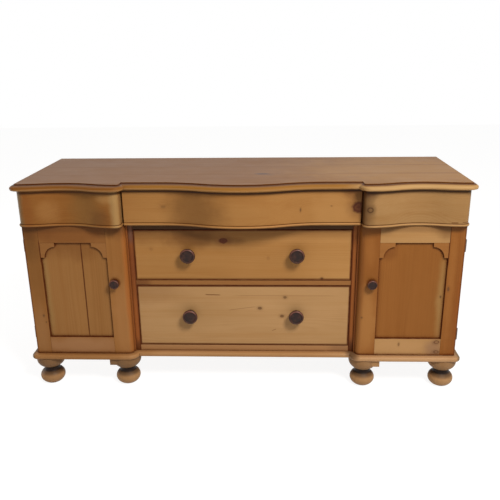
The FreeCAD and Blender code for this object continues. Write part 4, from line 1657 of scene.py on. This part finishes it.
@dataclass
class Studio:
    """Floor, soft light and the camera."""

    focal_share: float = 612.72 / 500.0
    sensor: float = 36.0
    eye_x: float = 0.125
    eye_height: float = 1.4011
    eye_distance: float = 2.3821
    yaw: float = -0.0392
    pitch: float = 0.3195
    roll: float = -0.0120
    ambient: float = 0.31
    ambient_colour: Colour = (1.0, 0.98, 0.95, 1.0)
    key_from: Triple = (1.55, -2.6, 3.35)
    key_aim: Triple = (0.0, -0.2, 0.45)
    key_size: float = 1.1
    key_power: float = 140.0
    fill_from: Triple = (-3.4, 0.6, 0.65)
    fill_aim: Triple = (-0.9, 0.1, 0.5)
    fill_size: float = 1.2
    fill_power: float = 18.0
    lamp_colour: Triple = (1.0, 0.96, 0.9)
    floor_half: float = 9.0
    floor_glow: float = 0.9
    floor_shade: float = 0.24
    floor_bounce: float = 0.8

    def camera(self) -> None:
        """Place the camera by its turn, its tilt and its roll."""
        forward = Vector((math.sin(self.yaw), math.cos(self.yaw), 0.0))
        right = Vector((math.cos(self.yaw), -math.sin(self.yaw), 0.0))
        up = Vector((0.0, 0.0, 1.0))
        look = forward * math.cos(self.pitch) - up * math.sin(self.pitch)
        lift = up * math.cos(self.pitch) + forward * math.sin(self.pitch)
        side = right * math.cos(self.roll) + lift * math.sin(self.roll)
        crown = lift * math.cos(self.roll) - right * math.sin(self.roll)
        data = bpy.data.cameras.new("camera")
        data.sensor_width = self.sensor
        data.lens = self.focal_share * self.sensor
        eye = bpy.data.objects.new("camera", data)
        turn = Matrix((side, crown, -look)).transposed().to_4x4()
        face_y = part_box("upper_drawer_front")[0].y
        stand = Vector((self.eye_x, face_y - self.eye_distance, self.eye_height))
        eye.matrix_world = Matrix.Translation(stand) @ turn
        bpy.context.scene.collection.objects.link(eye)
        bpy.context.scene.camera = eye

    def seen(self, recipe: Recipe) -> Wire:
        """Tell rays that show the surroundings from those that light the object.

        Args:
            recipe: The material or world in the making.

        Returns:
            1 for rays that show the surroundings, 0 for light on the object.
        """
        path = recipe.node("ShaderNodeLightPath")
        mirrored = recipe.wire(path, "Is Glossy Ray").at_least(recipe.wire(path, "Is Transmission Ray"))
        return recipe.wire(path, "Is Camera Ray").at_least(mirrored)

    def world(self) -> None:
        """White round the object, and an even light on it."""
        world = bpy.data.worlds.new("studio")
        world.use_nodes = True
        recipe = Recipe("studio", world.node_tree)
        white, even = (
            recipe.wire(recipe.node("ShaderNodeBackground", None, {"Color": colour, "Strength": strength}))
            for colour, strength in ((grey(1.0), 1.0), (self.ambient_colour, self.ambient))
        )
        mixed = recipe.node("ShaderNodeMixShader", None, {0: self.seen(recipe), 1: even, 2: white})
        recipe.node("ShaderNodeOutputWorld", None, {"Surface": recipe.wire(mixed)})
        bpy.context.scene.world = world

    def lamp(self, name: str, stand: Triple, aim: Triple, size: float, power: float) -> None:
        """Put up one soft round lamp.

        Args:
            name: The lamp's name.
            stand: Where it stands.
            aim: The point that it faces.
            size: Its diameter.
            power: Its power in watts.
        """
        data = bpy.data.lights.new(name, "AREA")
        data.shape = "DISK"
        data.size = size
        data.energy = power
        data.color = self.lamp_colour
        lamp = bpy.data.objects.new(name, data)
        lamp.location = stand
        lamp.rotation_euler = (Vector(aim) - Vector(stand)).to_track_quat("-Z", "Y").to_euler()
        bpy.context.scene.collection.objects.link(lamp)

    def floor(self) -> None:
        """A pale floor that takes the shadow."""
        shape = bmesh.new()
        bmesh.ops.create_grid(shape, x_segments=1, y_segments=1, size=self.floor_half)
        mesh = bpy.data.meshes.new("floor")
        shape.to_mesh(mesh)
        shape.free()
        recipe = Recipe("pale_floor")
        seen = self.seen(recipe)
        shade = recipe.mix(seen, grey(self.floor_bounce), grey(self.floor_shade))
        matt = recipe.node("ShaderNodeBsdfDiffuse", None, {"Color": shade})
        glow = recipe.node("ShaderNodeEmission", None, {"Strength": seen * self.floor_glow})
        both = recipe.node("ShaderNodeAddShader", None, {0: recipe.wire(matt), 1: recipe.wire(glow)})
        recipe.node("ShaderNodeOutputMaterial", None, {"Surface": recipe.wire(both)})
        mesh.materials.append(recipe.material)
        floor = bpy.data.objects.new("floor", mesh)
        bpy.context.scene.collection.objects.link(floor)

    def build(self) -> None:
        """Set up everything that isn't the object."""
        self.camera()
        self.world()
        self.lamp("key", self.key_from, self.key_aim, self.key_size, self.key_power)
        self.lamp("left_fill", self.fill_from, self.fill_aim, self.fill_size, self.fill_power)
        self.floor()
        bpy.context.scene.view_settings.view_transform = "Standard"


def frieze_drawers() -> tuple[FriezeDrawer, ...]:
    """The three frieze drawers with their marks.

    Returns:
        The left, the centre and the right one.
    """
    left = FriezeDrawer(
        "left_frieze", 5.0, shine=0.12, line=0.4,
        stains=(
            StainAndLightPatch(-0.615, 0.800, 0.095, 0.200, srgb(124, 98, 54), 0.3),
            StainAndLightPatch(-0.550, 0.760, 0.060, 0.055, SHADE, 0.5),
            StainAndLightPatch(-0.530, 0.850, 0.055, 0.034, srgb(176, 136, 84), 0.4),
            # Painted light on the rounded inner end, which faces the lamp
            StainAndLightPatch(-0.493, 0.800, 0.030, 0.160, srgb(164, 132, 84), 0.7),
            StainAndLightPatch(-0.860, 0.800, 0.040, 0.160, srgb(128, 70, 28), 0.4),
            # Painted reflection on the rounded outer end
            StainAndLightPatch(-0.893, 0.800, 0.032, 0.260, srgb(130, 108, 72), 0.8),
            # Painted pool of light
            StainAndLightPatch(-0.770, 0.785, 0.060, 0.060, GLOW, 0.2),
        ),
    )
    centre = FriezeDrawer(
        "centre_frieze", 9.0, shine=0.22,
        knots=(
            Knot(0.462, 0.799, 0.028, 0.026, colour=srgb(74, 36, 20)),
            Knot(0.234, 0.791, 0.003, 0.008, 0.7),
            Knot(0.356, 0.805, 0.004, 0.003, 0.5),
            Knot(-0.311, 0.803, 0.010, 0.006, 0.3),
        ),
        stains=(
            StainAndLightPatch(-0.185, 0.790, 0.150, 0.160, srgb(88, 52, 18), 0.5),
            # Painted pool of light
            StainAndLightPatch(0.360, 0.800, 0.110, 0.120, GLOW, 0.25),
            # Painted shadow under the top, at the inner corner
            StainAndLightPatch(0.440, 0.866, 0.055, 0.045, srgb(84, 46, 26), 0.5),
        ),
    )
    right = FriezeDrawer(
        "right_frieze", 13.0, shine=0.35,
        knots=(Knot(0.502, 0.798, 0.013, 0.012, 1.0, True, srgb(60, 34, 14)),),
        stains=(
            # Painted shade on the rounded inner end, which is turned from the lamp
            StainAndLightPatch(0.484, 0.800, 0.044, 0.160, srgb(96, 66, 38), 0.6),
            # Painted shadow under the top, at the inner corner
            StainAndLightPatch(0.497, 0.868, 0.055, 0.036, srgb(70, 38, 22), 0.6),
        ),
        cracks=(CrackAndShadeLine(0.820, 0.850, 0.742, 0.0030, 0.7), CrackAndShadeLine(0.862, 0.892, 0.744, 0.0026, 0.6)),
    )
    return left, centre, right


def wide_drawers() -> tuple[WideDrawer, ...]:
    """The two wide drawers with their marks.

    Returns:
        The upper and the lower one.
    """
    upper = WideDrawer(
        "upper_drawer", 17.0,
        knots=(
            Knot(-0.078, 0.652, 0.021, 0.013, colour=RED_KNOT),
            Knot(0.328, 0.488, 0.006, 0.005),
            Knot(0.106, 0.577, 0.005, 0.005, 0.35, True),
            Knot(-0.376, 0.616, 0.006, 0.005, 0.35, True),
        ),
        stains=(
            # Painted shade on the left and a painted pool of light on the right, as the lamp falls
            StainAndLightPatch(-0.440, 0.720, 0.300, 0.110, SHADE, 0.4),
            StainAndLightPatch(0.420, 0.560, 0.260, 0.200, GLOW, 0.2),
            StainAndLightPatch(-0.030, 0.652, 0.060, 0.022, SHADE, 0.4),
            # Painted shadow of the centre frieze
            StainAndLightPatch(-0.205, 0.664, 0.135, 0.060, srgb(84, 44, 16), 0.55),
        ),
        bands=(
            # Painted shade along the bottom gap, then the frieze's painted shadow along the top
            Band(0.482, 0.492, srgb(84, 46, 12), 0.5, 0.004),
            Band(0.650, 0.720, SHADE, 0.28, 0.030),
            Band(0.685, 0.720, srgb(70, 38, 14), 0.35, 0.012),
        ),
    )
    lower = WideDrawer(
        "lower_drawer", 63.0,
        stains=(StainAndLightPatch(-0.380, 0.430, 0.160, 0.070, srgb(112, 66, 34), 0.2),),
        bands=(
            # Painted shade along the gaps at the top and bottom of the front
            Band(0.448, 0.458, GAP_SHADE, 0.7, 0.002),
            Band(0.180, 0.191, GAP_SHADE, 0.5, 0.003),
        ),
        knots=(
            Knot(0.070, 0.353, 0.009, 0.007, 0.8),
            Knot(0.176, 0.403, 0.008, 0.006, 0.7),
            Knot(0.164, 0.317, 0.009, 0.007, 0.8),
        ),
        cracks=(
            CrackAndShadeLine(-0.163, -0.092, 0.4139, 0.0026, 0.8, -0.03),
            CrackAndShadeLine(-0.058, 0.415, 0.4103, 0.0020, 0.28),
            CrackAndShadeLine(-0.067, 0.057, 0.3520, 0.0026, 0.3, 0.14),
            CrackAndShadeLine(0.121, 0.141, 0.2532, 0.0020, 0.6, 0.4),
        ),
    )
    return upper, lower


def doors() -> tuple[Door, ...]:
    """The two doors with their marks.

    Returns:
        The left and the right one.
    """
    left = Door(
        "left", 71.0,
        panel_stains=(
            StainAndLightPatch(-0.824, 0.420, 0.026, 0.260, SHEEN, 0.6),
            StainAndLightPatch(-0.700, 0.640, 0.150, 0.080, srgb(108, 60, 22), 0.45),
        ),
        stile_stains=(
            StainAndLightPatch(-0.510, 0.300, 0.060, 0.280, srgb(168, 118, 70), 0.55),
            StainAndLightPatch(-0.860, 0.560, 0.060, 0.260, srgb(88, 58, 22), 0.25),
            StainAndLightPatch(-0.858, 0.250, 0.040, 0.150, srgb(156, 112, 70), 0.5),
            StainAndLightPatch(-0.872, 0.660, 0.060, 0.120, srgb(84, 50, 18), 0.4),
            # Painted highlight on the rounded inner edge, which faces the lamp
            StainAndLightPatch(-0.478, 0.440, 0.014, 0.500, srgb(152, 86, 34), 0.6),
            StainAndLightPatch(-0.510, 0.722, 0.100, 0.060, DEEP_SHADE, 0.5),
            StainAndLightPatch(-0.850, 0.715, 0.110, 0.080, DEEP_SHADE, 0.4),
        ),
        rail_stains=(
            StainAndLightPatch(-0.800, 0.722, 0.090, 0.060, DEEP_SHADE, 0.4),
            StainAndLightPatch(-0.570, 0.722, 0.080, 0.060, DEEP_SHADE, 0.4),
            # Painted shadow of the frieze on the top rail
            StainAndLightPatch(-0.690, 0.690, 0.260, 0.060, srgb(116, 66, 26), 0.5),
            StainAndLightPatch(-0.690, 0.190, 0.260, 0.060, srgb(164, 120, 82), 0.65),
        ),
        stile_knots=(Knot(-0.846, 0.330, 0.004, 0.006, 0.7), Knot(-0.838, 0.300, 0.003, 0.004, 0.6)),
        joints=(
            CrackAndShadeLine(0.200, 0.680, -0.6605, 0.0040, 0.85, upright=True),
            CrackAndShadeLine(0.560, 0.670, -0.829, 0.0034, 0.8, upright=True),
            # Painted shade along the outer edge, beside the shaded side
            CrackAndShadeLine(0.060, 0.820, -0.890, 0.0060, 0.6, upright=True),
        ),
    )
    right = Door(
        "right", 81.0,
        panel_stains=(
            StainAndLightPatch(0.820, 0.400, 0.032, 0.260, SHEEN, 0.6),
            StainAndLightPatch(0.590, 0.620, 0.060, 0.060, srgb(104, 54, 18), 0.4),
        ),
        stile_stains=(
            StainAndLightPatch(0.515, 0.300, 0.060, 0.220, srgb(172, 122, 68), 0.5),
            StainAndLightPatch(0.848, 0.450, 0.020, 0.340, srgb(152, 98, 46), 0.5),
            # Painted shade on the rounded inner edge, which is turned from the lamp
            StainAndLightPatch(0.484, 0.480, 0.018, 0.400, srgb(104, 58, 20), 0.45),
            StainAndLightPatch(0.518, 0.620, 0.030, 0.080, srgb(160, 106, 52), 0.25),
            StainAndLightPatch(0.884, 0.350, 0.018, 0.300, srgb(132, 72, 26), 0.5),
        ),
        rail_stains=(
            StainAndLightPatch(0.660, 0.190, 0.200, 0.060, srgb(184, 142, 96), 0.5),
            StainAndLightPatch(0.800, 0.190, 0.055, 0.050, srgb(132, 98, 76), 0.6),
            StainAndLightPatch(0.815, 0.722, 0.070, 0.060, SHADE, 0.6),
            StainAndLightPatch(0.580, 0.728, 0.060, 0.050, SHADE, 0.4),
        ),
        joints=(
            CrackAndShadeLine(0.540, 0.740, 0.829, 0.0034, 0.8, upright=True),
            # Painted shade along the outer edge, in the gap by the side
            CrackAndShadeLine(0.060, 0.820, 0.890, 0.0060, 0.5, upright=True),
        ),
        panel_knots=(Knot(0.814, 0.418, 0.004, 0.005, 0.8),),
        rail_knots=(
            Knot(0.812, 0.216, 0.012, 0.008, 1.0, True, RING_KNOT),
            Knot(0.814, 0.170, 0.012, 0.007, 1.0, True, RING_KNOT),
            Knot(0.655, 0.205, 0.004, 0.008, 0.6),
        ),
        stile_knots=(Knot(0.840, 0.456, 0.005, 0.009, 0.8), Knot(0.495, 0.327, 0.004, 0.004, 0.7)),
    )
    return left, right


def main() -> None:
    """Build the studio and every sub-assembly."""
    logging.basicConfig(level=logging.INFO, format="%(name)s: %(message)s")
    Studio().build()
    bench = Bench()
    knob = TurnedWood()
    iron = Iron().material("iron_finish")
    TopBoard().build(bench)
    for frieze in frieze_drawers():
        frieze.build(bench)
    for drawer in wide_drawers():
        drawer.build(bench, knob)
    for door in doors():
        door.build(bench, knob, iron)
    Carcass().build(bench, iron)
    Plinth().build(bench)


if __name__ == "__main__":
    main()
